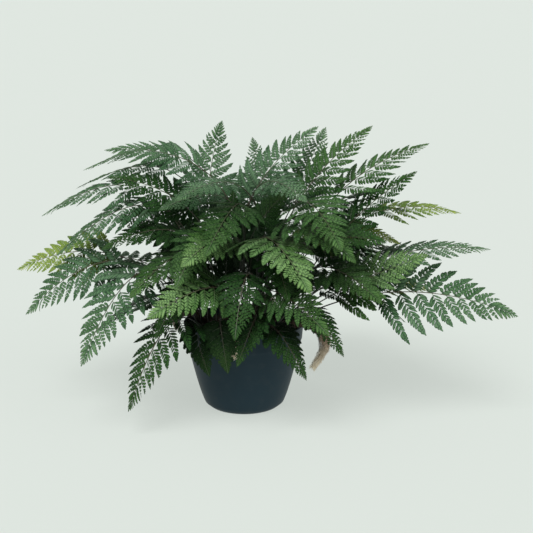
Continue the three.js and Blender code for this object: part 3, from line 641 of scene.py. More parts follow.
def depth_inside(points):
    """0 at the mound's outside and 1 in its heart and low in the skirt beside the pot, where the leaves
    are painted dark as shade.
    """
    deep = np.clip(1 - length((points - np.array(HEART)) / np.array(HEART_RADII)), 0, 1)
    near = np.clip((SKIRT_FROM[0] - np.hypot(points[..., 0], points[..., 1])) / SKIRT_FADE[0], 0, 1)
    low = np.clip((SKIRT_FROM[1] - points[..., 2]) / SKIRT_FADE[1], 0, 1)
    return np.clip(deep + SKIRT * near * low, 0, 1)


def half_lens(points, chain, middle):
    """Triangles between one half of the rim and the ridge, both in order from foot to tip."""
    faces = []
    i, j = 0, 0
    while i + 1 < len(chain):
        if j + 1 < len(middle) and points[middle[j + 1]][0] < points[chain[i + 1]][0]:
            faces.append((chain[i], middle[j + 1], middle[j]))
            j += 1
        else:
            faces.append((chain[i], chain[i + 1], middle[j]))
            i += 1
    while j + 1 < len(middle):
        faces.append((chain[-1], middle[j + 1], middle[j]))
        j += 1
    return faces


def leaflet_pattern(half, ridge):
    """A closed lens with this half outline and these ridge points: points (along, across, lift), faces."""
    n = len(half)
    rim = half + [(1.0, 0.0)] + [(p, -q) for p, q in reversed(half)]
    points = [(p, q, 0.0) for p, q in rim]
    points += [(p, 0.0, 1.0) for p in ridge] + [(p, 0.0, -1.0) for p in ridge]
    right, left = list(range(n + 1)), list(range(len(rim) - 1, n - 1, -1))
    faces = []
    for sign, first in ((1, len(rim)), (-1, len(rim) + len(ridge))):
        middle = list(range(first, first + len(ridge)))
        for chain, way in ((right, 1), (left, -1)):
            half_faces = half_lens(points, chain, middle)
            faces += half_faces if way * sign < 0 else [face[::-1] for face in half_faces]
        foot = (0, len(rim) - 1, middle[0])
        faces.append(foot if sign > 0 else foot[::-1])
    return np.array(points), np.array(faces)


LEAFLET_PATTERN = leaflet_pattern(LEAFLET, [0.12, 0.6])
PLAIN_LEAFLET_PATTERN = leaflet_pattern(PLAIN_LEAFLET, [0.15, 0.6])
LOBE_PATTERN = leaflet_pattern(LOBE, [0.45])
SMALL_PINNA_PATTERN = leaflet_pattern(SMALL_PINNA, [0.08, 0.4, 0.7])
LEAF, STALK = 0, 1


class Skin:
    """Points, triangles and shading values of one piece as it grows.

    kinds are the material numbers of the triangles. leaf is the place along and across a leaflet, or along
    a hair and how silver it is, and then a tint. place is the place along the frond or rhizome, 0 above to
    1 below, and room for the depth in the mound.
    """

    def __init__(self):
        self.points, self.faces, self.kinds, self.leaf, self.place = [], [], [], [], []
        self.count = 0

    def add(self, points, faces, kind=LEAF, leaf=(0, 0, 0), place=(0, 0, 0)):
        self.points.append(points)
        self.faces.append(faces + self.count)
        self.kinds.append(np.broadcast_to(kind, len(faces)))
        self.leaf.append(np.broadcast_to(leaf, (len(points), 3)))
        self.place.append(np.broadcast_to(place, (len(points), 3)))
        self.count += len(points)

    def arrays(self):
        return [np.concatenate(a) for a in (self.points, self.faces, self.kinds, self.leaf, self.place)]


def on_axis(values, axis=0):
    """Vectors that hold these values on one axis, and 0 on the others."""
    vectors = np.zeros((len(values), 3))
    vectors[:, axis] = values
    return vectors


def closed_rows(rings, ends):
    """Rings of points joined into a closed body with a point at each end: its points and triangles."""
    rows, sides = rings.shape[:2]
    i, k = np.meshgrid(np.arange(rows - 1), np.arange(sides), indexing="ij")
    a, b = i * sides + k, i * sides + (k + 1) % sides
    walls = np.concatenate([np.stack([a, b, b + sides], -1), np.stack([a, b + sides, a + sides], -1)], 1)
    k = np.arange(sides)
    after = (k + 1) % sides
    last = (rows - 1) * sides
    start = np.stack([np.full(sides, rows * sides), after, k], -1)
    end = np.stack([np.full(sides, rows * sides + 1), last + k, last + after], -1)
    return np.concatenate([rings.reshape(-1, 3), ends]), np.concatenate([walls.reshape(-1, 3), start, end])


def tube(centre, radius, side, up, sides):
    """A closed tube round a line, with pointed ends: its points and triangles."""
    angle = 2 * np.pi * np.arange(sides) / sides
    ring = side[:, None] * np.cos(angle)[:, None] + up[:, None] * np.sin(angle)[:, None]
    return closed_rows(centre[:, None] + ring * radius[:, None, None], centre[[0, -1]])


def place_leaflets(skin, pattern, pinna, root, angle, sizes, tilt=0.0, cup=0.0, tint=0.0):
    """Adds one leaflet for each root. root is (n, 2) on the flat blade, and angle is from the rachis."""
    points, faces = pattern
    n = len(root)
    p = points[:, 0] * sizes[:, :1]
    q = points[:, 1] * sizes[:, 1:]
    c, s = np.cos(angle)[:, None], np.sin(angle)[:, None]
    tilt, cup, tint = (np.broadcast_to(value, n)[:, None] for value in (tilt, cup, tint))
    u = root[:, :1] + p * c - q * s
    v = root[:, 1:] + p * s + q * c
    lens = points[:, 2] * np.minimum(LEAFLET_LENS, LENS_SHARE * sizes[:, 1:]) / 2
    bowl = cup * (q * q + CUP_ALONG * (p - CUP_ALONG * sizes[:, :1]) ** 2)
    w = pinna.lift(u, v) + lens + np.tan(tilt) * q - bowl
    every = (faces + (np.arange(n) * len(points))[:, None, None]).reshape(-1, 3)

    def vectors(*values):
        return np.stack([np.broadcast_to(value, p.shape) for value in values], -1).reshape(-1, 3)

    leaf = vectors(points[:, 0], 2 * points[:, 1], tint)
    place = vectors(pinna.root, 0.5 - 0.5 * points[:, 2], 0.0)
    skin.add(vectors(u, pinna.way * v, w), every if pinna.way > 0 else every[:, ::-1], LEAF, leaf, place)


class Tip:
    """The frond's own tip, which lies flat on the blade."""

    way, root = 1, 1.0

    def lift(self, u, v):
        return 0 * u


class Pinna:
    """One pinna on the flat blade: its middle line, its width, and how it droops and twists."""

    def __init__(self, root, room, way, blade, inside, rng):
        self.root, self.way = root, way
        mean = mix(*PINNA_ANGLE, root) + rng.normal(0, ANGLE_SPREAD)
        self.reach = blade * PINNA_REACH * (1 - root) ** PINNA_POWER * (1 + rng.uniform(*REACH_SPREAD))
        self.share = np.arange(PINNA_STEPS + 1) / PINNA_STEPS
        self.angle = np.radians(mean + PINNA_BEND * (1 - 2 * self.share))
        between = (self.angle[1:] + self.angle[:-1]) / 2
        step = self.reach / PINNA_STEPS
        u = np.concatenate([[0], np.cumsum(np.cos(between) * step)])
        v = np.concatenate([[0], np.cumsum(np.sin(between) * step)])
        self.line = np.stack([root * blade + u, v], -1)
        self.middle = math.atan2(self.line[-1, 1], self.line[-1, 0] - self.line[0, 0])
        self.half = 0.5 * room * blade * math.sin(math.radians(mean)) * mix(*PINNA_FILL, inside)
        self.crowd = mix(*LEAFLET_FILL, inside)
        self.droop = rng.uniform(*DROOP) * self.reach
        self.twist = math.tan(math.radians(rng.normal(0, TWIST_SPREAD)))
        self.tint = rng.normal(0, PINNA_TINT)

    def at(self, share):
        """The place on the middle line and the angle there."""
        line = np.stack([np.interp(share, self.share, self.line[:, k]) for k in (0, 1)], -1)
        return line, np.interp(share, self.share, self.angle)

    def lift(self, u, v):
        """Height over the blade's surface: the pinna droops to its tip and twists about its middle."""
        c, s = math.cos(self.middle), math.sin(self.middle)
        along = u - self.line[0, 0]
        far = np.clip((along * c + v * s) / self.reach, 0, 1.1)
        return -self.droop * far**2 - self.twist * (along * -s + v * c) * far

    def width(self, share, lower):
        """Half width at a share of the pinna's length, on its lower or its upper side."""
        extra, first, fade = LOW_SIDE
        full = self.half * (1 - PINNA_TAPER[0] * share ** PINNA_TAPER[1])
        lowest = 1 + extra * (self.root < first) * np.maximum(0, 1 - fade * share)
        return full * np.where(lower, lowest, 1.0)


def grow_leaflets(skin, pinna, share, pattern, crowd, rng):
    """Leaflets on both sides of a pinna at these shares of its length."""
    gap = np.gradient(share)
    n = len(share)
    for side in (1, -1):
        at = share + side * LEAFLET_SHIFT * gap
        root, angle = pinna.at(at)
        lean = np.radians(mix(*LEAFLET_ANGLE, share) + rng.normal(0, LEAN_SPREAD, n))
        size = pinna.width(at, side > 0) / np.sin(lean) * (1 + rng.uniform(*LENGTH_SPREAD, n))
        wide = np.minimum(gap * pinna.reach * crowd, size * WIDEST) * (1 + rng.uniform(*WIDTH_SPREAD, n))
        sizes = np.maximum(np.stack([size, wide], -1), SMALLEST)
        tilt = -side * np.radians(rng.normal(*LEAFLET_TILT, n))
        cup = rng.uniform(*CUP, n)
        tint = pinna.tint + rng.normal(0, LEAFLET_TINT, n)
        place_leaflets(skin, pattern, pinna, root, angle + side * lean, sizes, tilt, cup, tint)


def grow_pinna_stalk(skin, pinna):
    share = np.linspace(0, STALK_END, STALK_RINGS)
    line, angle = pinna.at(share)
    centre = np.column_stack([line, pinna.lift(line[:, 0], line[:, 1])])
    side = np.stack([-np.sin(angle), np.cos(angle), 0 * angle], -1)
    up = np.broadcast_to([0.0, 0.0, 1.0], centre.shape)
    points, faces = tube(centre, mix(*PINNA_STALK, share), side, up, STALK_SIDES)
    age = np.concatenate([np.repeat(mix(*STALK_AGE, share), STALK_SIDES), STALK_AGE])
    faces = faces if pinna.way > 0 else faces[:, ::-1]
    skin.add(points * np.array([1, pinna.way, 1]), faces, STALK, place=on_axis(age))


def grow_big_pinna(skin, pinna, pairs, pattern, rng):
    spaced = (np.arange(pairs) + LEAFLET_START) / pairs * LOBES_FROM
    grow_leaflets(skin, pinna, spaced, pattern, pinna.crowd, rng)
    lobes = mix(LOBES_FROM, LOBES_TO, (np.arange(TIP_LOBES) + LOBE_START) / TIP_LOBES)
    grow_leaflets(skin, pinna, lobes, LOBE_PATTERN, LOBE_FILL, rng)
    root, angle = pinna.at(np.array([END_LOBE[0]]))
    sizes = np.array([END_LOBE[1:]]) * pinna.reach
    place_leaflets(skin, LOBE_PATTERN, pinna, root, angle, sizes, tint=pinna.tint)
    grow_pinna_stalk(skin, pinna)


def grow_small_pinna(skin, pinna, rng):
    sizes = np.array([[pinna.reach, min(pinna.half * SMALL_WIDTH[0], pinna.reach * SMALL_WIDTH[1])]])
    root, _ = pinna.at(np.zeros(1))
    tilt = np.radians(rng.normal(0, SMALL_TILT, 1))
    cup = rng.uniform(*CUP, 1)
    angle = np.array([pinna.middle])
    place_leaflets(skin, SMALL_PINNA_PATTERN, pinna, root, angle, sizes, tilt, cup, pinna.tint)


def grow_blade(frond, rng):
    """The leaflets and pinna stalks of one frond, flat and then laid on its centre line."""
    skin = Skin()
    spine = frond.spine
    blade = float(spine.blade[0])
    depth = float(depth_inside(spine.at(np.array([[HEART_MARK]]))[0])[0])
    inside = min(1.0, max(0.0, HEART_FILL[0] * depth - HEART_FILL[1]))
    big = len(BIG_PINNAE)
    roots = [BIG_PINNAE[0] - BEFORE_FIRST, *BIG_PINNAE, *SMALL_PINNAE, AFTER_LAST]
    for way in (1, -1):
        for k in range(len(roots) - 2):
            root = roots[k + 1] - way * ALTERNATE + ROOT_SHIFT
            pinna = Pinna(root, (roots[k + 2] - roots[k]) / 2, way, blade, inside, rng)
            if k < big:
                pairs = round(mix(*LEAFLET_PAIRS, k / (big - 1)) * min(1, blade / FULL_BLADE))
                pattern = LEAFLET_PATTERN if k < LOBED_PINNAE else PLAIN_LEAFLET_PATTERN
                grow_big_pinna(skin, pinna, max(FEWEST_PAIRS, pairs), pattern, rng)
            else:
                grow_small_pinna(skin, pinna, rng)
    tip = np.array([[FROND_END[0] * blade, 0.0]])
    place_leaflets(skin, LOBE_PATTERN, Tip(), tip, np.zeros(1), np.array([FROND_END[1:]]) * blade)
    points, faces, kinds, leaf, place = skin.arrays()
    u, v, w = points.T
    far = u / blade
    v = v + SWAY[0] * blade * np.sin(SWAY[1] * far + rng.uniform(0, SWAY[2])) * far * (1 - far)
    roll = np.full((1, len(u)), frond.roll)
    return spine.blade_points(roll, u[None], v[None], w[None])[0], faces, kinds, leaf, place


def grow_stalk(frond):
    """The stipe from inside the soil to the neck, and the rachis on to the frond's tip."""
    spine = frond.spine
    whole, neck = float(spine.whole[0]), float(spine.neck_arc[0])
    distance = np.linspace(-PEG_DEPTH * STIPE_PEG, whole * STIPE_END, STIPE_RINGS)
    roll = frond.roll * np.clip(distance / neck, 0, 1)
    point, _, side, normal = (a[0] for a in spine.frames(distance[None], roll[None]))
    share = np.clip(distance / whole, 0, 1)
    points, faces = tube(point, mix(*STIPE_RADIUS, share), side, normal, STIPE_SIDES)
    age = np.concatenate([np.repeat(STIPE_AGE[0] * share ** STIPE_AGE[1], STIPE_SIDES), [0, STIPE_AGE[0]]])
    return points, faces, STALK, (0, 0, 0), on_axis(age)


# Pieces in Blender.
def new_object(name, points, faces):
    mesh = bpy.data.meshes.new(name)
    mesh.from_pydata((points / 1000).tolist(), [], faces.tolist())
    made = bpy.data.objects.new(name, mesh)
    bpy.context.collection.objects.link(made)
    return made


def smooth(mesh, sharp_angle):
    mesh.polygons.foreach_set("use_smooth", np.ones(len(mesh.polygons), bool))
    mesh.set_sharp_from_angle(angle=math.radians(sharp_angle))


def new_piece(name, skin, materials, sharp_angle=40):
    """The object of a piece, in metres, with its shading values as mesh attributes."""
    points, faces, kinds, leaf, place = skin.arrays()
    place = np.column_stack([place[:, :2], depth_inside(points)])
    piece = new_object(name, points, faces)
    for material in materials:
        piece.data.materials.append(material)
    piece.data.polygons.foreach_set("material_index", kinds.astype(np.int32))
    for key, values in (("leaf", leaf), ("place", place)):
        layer = piece.data.attributes.new(key, "FLOAT_VECTOR", "POINT")
        layer.data.foreach_set("vector", np.ascontiguousarray(values, np.float32).ravel())
    smooth(piece.data, sharp_angle)
    piece.data.update()
    return piece


def stands_for(piece, node):
    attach(piece, "root")
    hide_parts(node)


# Materials. Of each colour of leaf: dark and light upper side, underside, which is kept dark as painted
# shade, young parts, and shaded rims.
TONES = {
    "deep": ((0.008, 0.040, 0.006), (0.038, 0.102, 0.026), (0.008, 0.032, 0.004), (0.064, 0.146, 0.034),
             (0.003, 0.015, 0.006)),
    "mid": ((0.018, 0.070, 0.011), (0.080, 0.172, 0.056), (0.014, 0.054, 0.007), (0.120, 0.225, 0.062),
            (0.006, 0.028, 0.008)),
    "grey": ((0.034, 0.102, 0.036), (0.134, 0.242, 0.130), (0.030, 0.080, 0.026), (0.165, 0.278, 0.120),
             (0.010, 0.034, 0.018)),
    "fresh": ((0.054, 0.150, 0.028), (0.190, 0.330, 0.132), (0.040, 0.114, 0.018), (0.245, 0.375, 0.128),
              (0.014, 0.060, 0.012)),
    "lime": ((0.070, 0.150, 0.030), (0.230, 0.330, 0.075), (0.100, 0.180, 0.030), (0.540, 0.590, 0.150),
             (0.110, 0.200, 0.030)),
}
# Near black, painted on leaves and stalks deep in the mound as shade.
HEART_SHADE_COLOUR = (0.002, 0.010, 0.002)
STALK_BROWN = ((0.022, 0.012, 0.008), (0.085, 0.048, 0.026))
POT_COLOURS = ((0.014, 0.030, 0.041), (0.019, 0.038, 0.051))
POT_DUST = (0.060, 0.068, 0.068)
SOIL_COLOURS = ((0.004, 0.003, 0.002), (0.040, 0.024, 0.014))
FUR_COLOURS = ((0.150, 0.095, 0.060), (0.900, 0.750, 0.560))
FUR_ENDS = (0.880, 0.790, 0.640)
FUR_SILVER = (0.760, 0.785, 0.800)
FUR_CREAM = (0.900, 0.820, 0.640)
# Painted shade for fur on the soil under the fronds.
FUR_SHADE = (0.024, 0.015, 0.010)


class Paint:
    """A material with a Principled shader, and the nodes that feed it."""

    def __init__(self, name, roughness, specular=0.5):
        self.material = bpy.data.materials.new(name)
        self.material.use_nodes = True
        self.tree = self.material.node_tree
        self.shader = self.tree.nodes["Principled BSDF"]
        self.set("Roughness", roughness)
        self.set("Specular IOR Level", specular)

    def feed(self, socket, value):
        """Links another node's output to this input, or sets a number or a colour on it."""
        if isinstance(value, bpy.types.NodeSocket):
            self.tree.links.new(value, socket)
        elif socket.type == "RGBA":
            socket.default_value = (*value, 1.0)
        else:
            socket.default_value = value

    def set(self, key, value):
        self.feed(self.shader.inputs[key], value)

    def node(self, kind, inputs, **settings):
        made = self.tree.nodes.new("ShaderNode" + kind)
        for key, value in settings.items():
            setattr(made, key, value)
        for key, value in inputs.items():
            self.feed(made.inputs[key], value)
        return made

    def blend(self, factor, a, b):
        return self.node("Mix", {0: factor, 6: a, 7: b}, data_type="RGBA").outputs[2]

    def scaled(self, value, low, high, to_low=0.0, to_high=1.0):
        return self.node("MapRange", {0: value, 1: low, 2: high, 3: to_low, 4: to_high}).outputs[0]

    def math(self, operation, a, b=0.0):
        return self.node("Math", {0: a, 1: b}, operation=operation).outputs[0]

    def plus(self, a, b):
        return self.math("ADD", a, b)

    def times(self, a, b):
        return self.math("MULTIPLY", a, b)

    def noise(self, scale, detail=3.0, roughness=0.55):
        where = self.node("TexCoord", {}).outputs["Object"]
        inputs = {"Vector": where, "Scale": scale, "Detail": detail, "Roughness": roughness}
        return self.node("TexNoise", inputs).outputs[0]

    def stored(self, key):
        """The three numbers of a mesh attribute."""
        vector = self.node("Attribute", {}, attribute_name=key).outputs["Vector"]
        return self.node("SeparateXYZ", {0: vector}).outputs

    def bump(self, height, strength, distance):
        made = self.node("Bump", {"Height": height, "Strength": strength, "Distance": distance})
        self.set("Normal", made.outputs[0])


def veins(paint, along, across):
    """A middle vein, and side veins that fork from it."""
    aside = paint.math("ABSOLUTE", across)
    middle = paint.scaled(aside, 0.02, 0.13, 1.0, 0.0)
    slanted = paint.math("SUBTRACT", paint.times(along, 34.0), paint.times(aside, 9.0))
    ribs = paint.scaled(paint.math("SINE", slanted), 0.75, 1.0)
    return paint.math("MAXIMUM", middle, paint.times(ribs, 0.45))


def leaf_material(tone):
    dark, light, under, young, shaded = TONES[tone]
    paint = Paint("leaf_" + tone, 0.42, 0.07)
    along, across, tint = paint.stored("leaf")
    root, below, depth = paint.stored("place")
    # Patches over the whole plant, and a fine mottle.
    patch = paint.scaled(paint.noise(14.0), 0.32, 0.68)
    mottle = paint.noise(420.0, 4.0)
    mixed = paint.plus(paint.plus(paint.times(tint, 0.36), patch), paint.times(mottle, 0.5))
    colour = paint.blend(paint.scaled(mixed, 0.15, 1.2), dark, light)
    # Young growth is paler towards the frond's tip and at the leaflets' ends, and so are the veins.
    youth = paint.times(paint.scaled(root, 0.3, 1.1), paint.scaled(along, 0.3, 1.0, 0.25, 1.0))
    colour = paint.blend(youth, colour, young)
    vein = veins(paint, along, across)
    colour = paint.blend(paint.times(vein, 0.35), colour, young)
    # The underside has its own colour, kept darker than the upper side as painted shade beneath the
    # leaves.
    colour = paint.blend(paint.scaled(below, 0.5, 0.8), colour, under)
    # Leaflets overlap: their rims and their feet lie in the shade of the next ones.
    rim = paint.scaled(paint.math("ABSOLUTE", paint.math("SUBTRACT", below, 0.5)), 0.02, 0.3, 0.8, 0.0)
    foot = paint.scaled(along, 0.02, 0.45, 0.85, 0.0)
    colour = paint.blend(paint.math("MAXIMUM", rim, foot), colour, shaded)
    # Painted shade: leaves deep in the mound and low beside the pot are darkened towards near black.
    paint.set("Base Color", paint.blend(paint.scaled(depth, 0.12, 0.6, 0.0, 0.92), colour, HEART_SHADE_COLOUR))
    paint.set("Roughness", paint.scaled(mottle, 0.2, 0.8, 0.32, 0.5))
    paint.bump(paint.plus(vein, paint.times(mottle, 0.6)), 0.7, 0.0006)
    return paint.material


def stalk_material(tone):
    """Dark brown at the soil, and green at the ends of the pinnae."""
    paint = Paint("stalk_" + tone, 0.45)
    age, _, depth = paint.stored("place")
    grain = paint.noise(260.0)
    young = paint.scaled(paint.plus(age, paint.times(grain, 0.15)), 0.35, 1.0)
    colour = paint.blend(young, paint.blend(grain, *STALK_BROWN), TONES[tone][1])
    # Painted shade: stalks deep in the mound and low beside the pot are darkened towards near black.
    paint.set("Base Color", paint.blend(paint.scaled(depth, 0.15, 0.7, 0.0, 0.85), colour, HEART_SHADE_COLOUR))
    return paint.material


def pot_material():
    paint = Paint("pot_satin", 0.45, 0.1)
    cloud = paint.noise(9.0)
    dust = paint.times(paint.scaled(paint.noise(60.0, 6.0), 0.52, 0.75), 0.15)
    paint.set("Base Color", paint.blend(dust, paint.blend(cloud, *POT_COLOURS), POT_DUST))
    paint.set("Roughness", paint.scaled(cloud, 0.3, 0.7, 0.38, 0.48))
    paint.bump(paint.noise(900.0, 2.0), 0.12, 0.0003)
    return paint.material


def soil_material():
    paint = Paint("soil_peat", 0.95, 0.2)
    tint = paint.stored("leaf")[2]
    grain = paint.noise(340.0, 6.0, 0.7)
    mixed = paint.plus(paint.times(tint, 0.35), grain)
    paint.set("Base Color", paint.blend(paint.scaled(mixed, 0.35, 0.95), *SOIL_COLOURS))
    paint.bump(grain, 0.8, 0.002)
    return paint.material


def fur_material():
    """Tan hairs with dark ones between, silver on one side, cream at the growing tip, and painted shade
    darkening them on the soil under the fronds.
    """
    paint = Paint("fur", 0.75, 0.2)
    along, silver, tint = paint.stored("leaf")
    tip, _, depth = paint.stored("place")
    mixed = paint.plus(tint, paint.times(paint.noise(300.0), 0.3))
    colour = paint.blend(paint.scaled(mixed, 0.15, 1.15), *FUR_COLOURS)
    colour = paint.blend(paint.times(along, 0.4), colour, FUR_ENDS)
    colour = paint.blend(paint.scaled(silver, 0.35, 0.8, 0.0, 0.85), colour, FUR_SILVER)
    colour = paint.blend(paint.scaled(tip, 0.8, 1.0, 0.0, 0.7), colour, FUR_CREAM)
    # Painted shade: fur deep under the fronds, on the soil, is darkened.
    paint.set("Base Color", paint.blend(paint.scaled(depth, 0.62, 0.82, 0.0, 0.85), colour, FUR_SHADE))
    return paint.material


# Rhizomes: a rough core under a coat of fine hairs.
CORE_SHARE = 0.93  # the core's radius, as a share of the rhizome's
CORE_RINGS = 90
CORE_SIDES = 14
CORE_ROOT = (0.75, 4)  # the radius at the root end as a share of the full one, and how fast it grows
CORE_TIP = (0.35, 3)
CORE_WAVES = (0.08, 61)
CORE_BUMPS = 0.05
CORE_POINT = 0.4
HAIRS = 2400
HAIR_POWER = 0.85  # under 1 sets more hairs near the growing tip
HAIR_FOOT = 0.9  # as a share of the core's radius
HAIR_LENGTH = (4.0, 8.0)
HAIR_STAND = (0.3, 0.6)
HAIR_LEAN = (0.5, 1.1)
HAIR_ASIDE = 0.35
HAIR_BEND = 0.55  # share of the length below the bend
HAIR_CURL = (0.7, 0.45)  # how far the end turns to the growing tip and back to the core
HAIR_RADIUS = 0.26
HAIR_TAPER = 0.75
HAIR_CORNERS = 3
HAIR_POINTS = 2 * HAIR_CORNERS + 1
HAIR_CLUMPS = 60
CLUMPS_ROUND = 9
CLUMPS_ALONG = 6
TINT_SPREAD = 0.18
SILVER_SPREAD = 0.12


def path_frames(path):
    """Unit vectors along a path and across it, that don't spin round it."""
    along = unit(np.gradient(path, axis=0))
    side = np.empty_like(path)
    last = np.array([0.0, 0.0, 1.0])
    for i, t in enumerate(along):
        last = last - t * (last @ t)
        last = last / np.sqrt(last @ last)
        side[i] = last
    return along, side, np.cross(along, side)


class Rhizome:
    """A rhizome's path, with what is needed at any share of its length."""

    def __init__(self, radius, path):
        self.radius, self.path = radius, path
        self.along, self.side, self.other = path_frames(path)
        self.marks = np.arange(len(path)) / (len(path) - 1)

    def at(self, values, share):
        return np.stack([np.interp(share, self.marks, values[:, k]) for k in range(3)], -1)

    def core(self, share):
        """The core's radius, thinner at both ends."""
        root = np.minimum(CORE_ROOT[0] + CORE_ROOT[1] * share, 1)
        return self.radius * np.minimum(root, CORE_TIP[0] + CORE_TIP[1] * (1 - share)) * CORE_SHARE


def grow_core(skin, rhizome, rng):
    share = np.linspace(0, 1, CORE_RINGS)
    height, turn = CORE_WAVES
    bumps = 1 + height * np.sin(share * turn) + CORE_BUMPS * rng.normal(0, 1, CORE_RINGS)
    size = rhizome.core(share) * bumps
    size[[0, -1]] *= CORE_POINT
    side, other = (unit(rhizome.at(values, share)) for values in (rhizome.side, rhizome.other))
    points, faces = tube(rhizome.at(rhizome.path, share), size, side, other, CORE_SIDES)
    place = on_axis(np.concatenate([np.repeat(share, CORE_SIDES), [0, 1]]))
    skin.add(points, faces, LEAF, (0, 0, 0.1), place)


def hair_faces():
    """Triangles of all hairs: each is a bent spike with its widest ring at the skin."""
    one = []
    for k in range(HAIR_CORNERS):
        j = (k + 1) % HAIR_CORNERS
        low, high = (k, j), (k + HAIR_CORNERS, j + HAIR_CORNERS)
        one += [(*low, high[1]), (low[0], high[1], high[0]), (*high, 2 * HAIR_CORNERS)]
    one.append((2, 1, 0))
    return (np.array(one) + (np.arange(HAIRS) * HAIR_POINTS)[:, None, None]).reshape(-1, 3)


def grow_hairs(skin, rhizome, rng):
    """Hairs that lean towards the growing tip."""
    share = rng.uniform(0, 1, HAIRS) ** HAIR_POWER
    a = rng.uniform(0, 2 * np.pi, HAIRS)
    s, o, t = (unit(rhizome.at(v, share)) for v in (rhizome.side, rhizome.other, rhizome.along))
    out = s * np.cos(a)[:, None] + o * np.sin(a)[:, None]
    start = rhizome.at(rhizome.path, share) + out * (rhizome.core(share) * HAIR_FOOT)[:, None]
    stand = rng.uniform(*HAIR_STAND, HAIRS)[:, None]
    lean = rng.uniform(*HAIR_LEAN, HAIRS)[:, None]
    way = unit(out * stand + t * lean + np.cross(t, out) * rng.normal(0, HAIR_ASIDE, HAIRS)[:, None])
    size = rng.uniform(*HAIR_LENGTH, HAIRS)[:, None]
    bend = start + way * size * HAIR_BEND
    end = bend + unit(way + t * HAIR_CURL[0] - out * HAIR_CURL[1]) * size * (1 - HAIR_BEND)
    first = unit(np.cross(way, out + 0.01))
    second = np.cross(way, first)
    angles = 2 * np.pi * np.arange(HAIR_CORNERS) / HAIR_CORNERS
    corners = [(first * math.cos(angle) + second * math.sin(angle)) * HAIR_RADIUS for angle in angles]
    points = np.stack([start + c for c in corners] + [bend + HAIR_TAPER * c for c in corners] + [end], 1)
    leaf, place = hair_shading(share, a, out, start, rng)
    skin.add(points.reshape(-1, 3), hair_faces(), LEAF, leaf, place)


def hair_shading(share, a, out, start, rng):
    """Hairs of one clump have nearly the same tint. The silver ones are on the side turned to the pot."""
    clump = (a * CLUMPS_ROUND / (2 * np.pi)).astype(int) * CLUMPS_ALONG % HAIR_CLUMPS
    clump = rng.uniform(0, 1, HAIR_CLUMPS)[clump + (share * CLUMPS_ALONG).astype(int)]
    tint = np.clip(clump + rng.normal(0, TINT_SPREAD, HAIRS), 0, 1)
    inward = -(out[:, 0] * start[:, 0] + out[:, 1] * start[:, 1]) / np.hypot(start[:, 0], start[:, 1])
    silver = np.clip(0.5 + 0.5 * inward + rng.normal(0, SILVER_SPREAD, HAIRS), 0, 1)
    reach = np.tile([0, 0, 0, 0.5, 0.5, 0.5, 1], HAIRS)
    silver, tint, share = (np.repeat(values, HAIR_POINTS) for values in (silver, tint, share))
    return np.stack([reach, silver, tint], -1), on_axis(share)


# Seeds of the random draws. Each rhizome and each frond has its own.
SOIL_SEED = 5
RHIZOME_SEED = 70
FROND_SEED = 1000

# The pot's finer form, and the soil. Its top has lumps, hills and loose crumbs.
POT_SIDES = 120
WALL_RINGS = 16
HOLE_SIDES = 32
SOIL_SIDES = 110
SOIL_EDGE = COLLAR_RADIUS - POT_WALL
SOIL_LEVELS = (12, 30, 50, 70, 90, COLLAR_BOTTOM - 3)
SOIL_RINGS = 44
SOIL_TINT = 0.2
LUMPS = 0.35
CRUMBS = 900
CRUMB_SIZE = (0.9, 3.4)
CRUMB_SHAPE = (0.45, 1.2)
CRUMB_DENTS = 0.2
CRUMB_EDGE = 3
CRUMB_RISE = 0.4
GOLDEN_RATIO = (1 + 5**0.5) / 2
CRUMB_POINTS = [np.roll((a, b * GOLDEN_RATIO, 0), k) for k in range(3) for b in (1, -1) for a in (-1, 1)]
CRUMB_POINTS = np.array(CRUMB_POINTS) / 1.9  # an icosahedron with a radius of about 1
CRUMB_FACES = np.array([
    (0, 11, 5), (0, 5, 1), (0, 1, 7), (0, 7, 10), (0, 10, 11), (1, 5, 9), (5, 11, 4), (11, 10, 2),
    (10, 7, 6), (7, 1, 8), (3, 9, 4), (3, 4, 2), (3, 2, 6), (3, 6, 8), (3, 8, 9), (4, 9, 5), (2, 4, 11),
    (6, 2, 10), (8, 6, 7), (9, 8, 1),
])


def lathe(profile, sides):
    """A closed body turned round the Z axis. The profile starts and ends on the axis."""
    profile = np.array(profile, float)
    inner = profile[1:-1]
    angle = 2 * np.pi * np.arange(sides) / sides
    x, y = inner[:, :1] * np.cos(angle), inner[:, :1] * np.sin(angle)
    rings = np.stack([x, y, np.broadcast_to(inner[:, 1:], x.shape)], -1)
    return closed_rows(rings, np.array([[0, 0, profile[0, 1]], [0, 0, profile[-1, 1]]]))


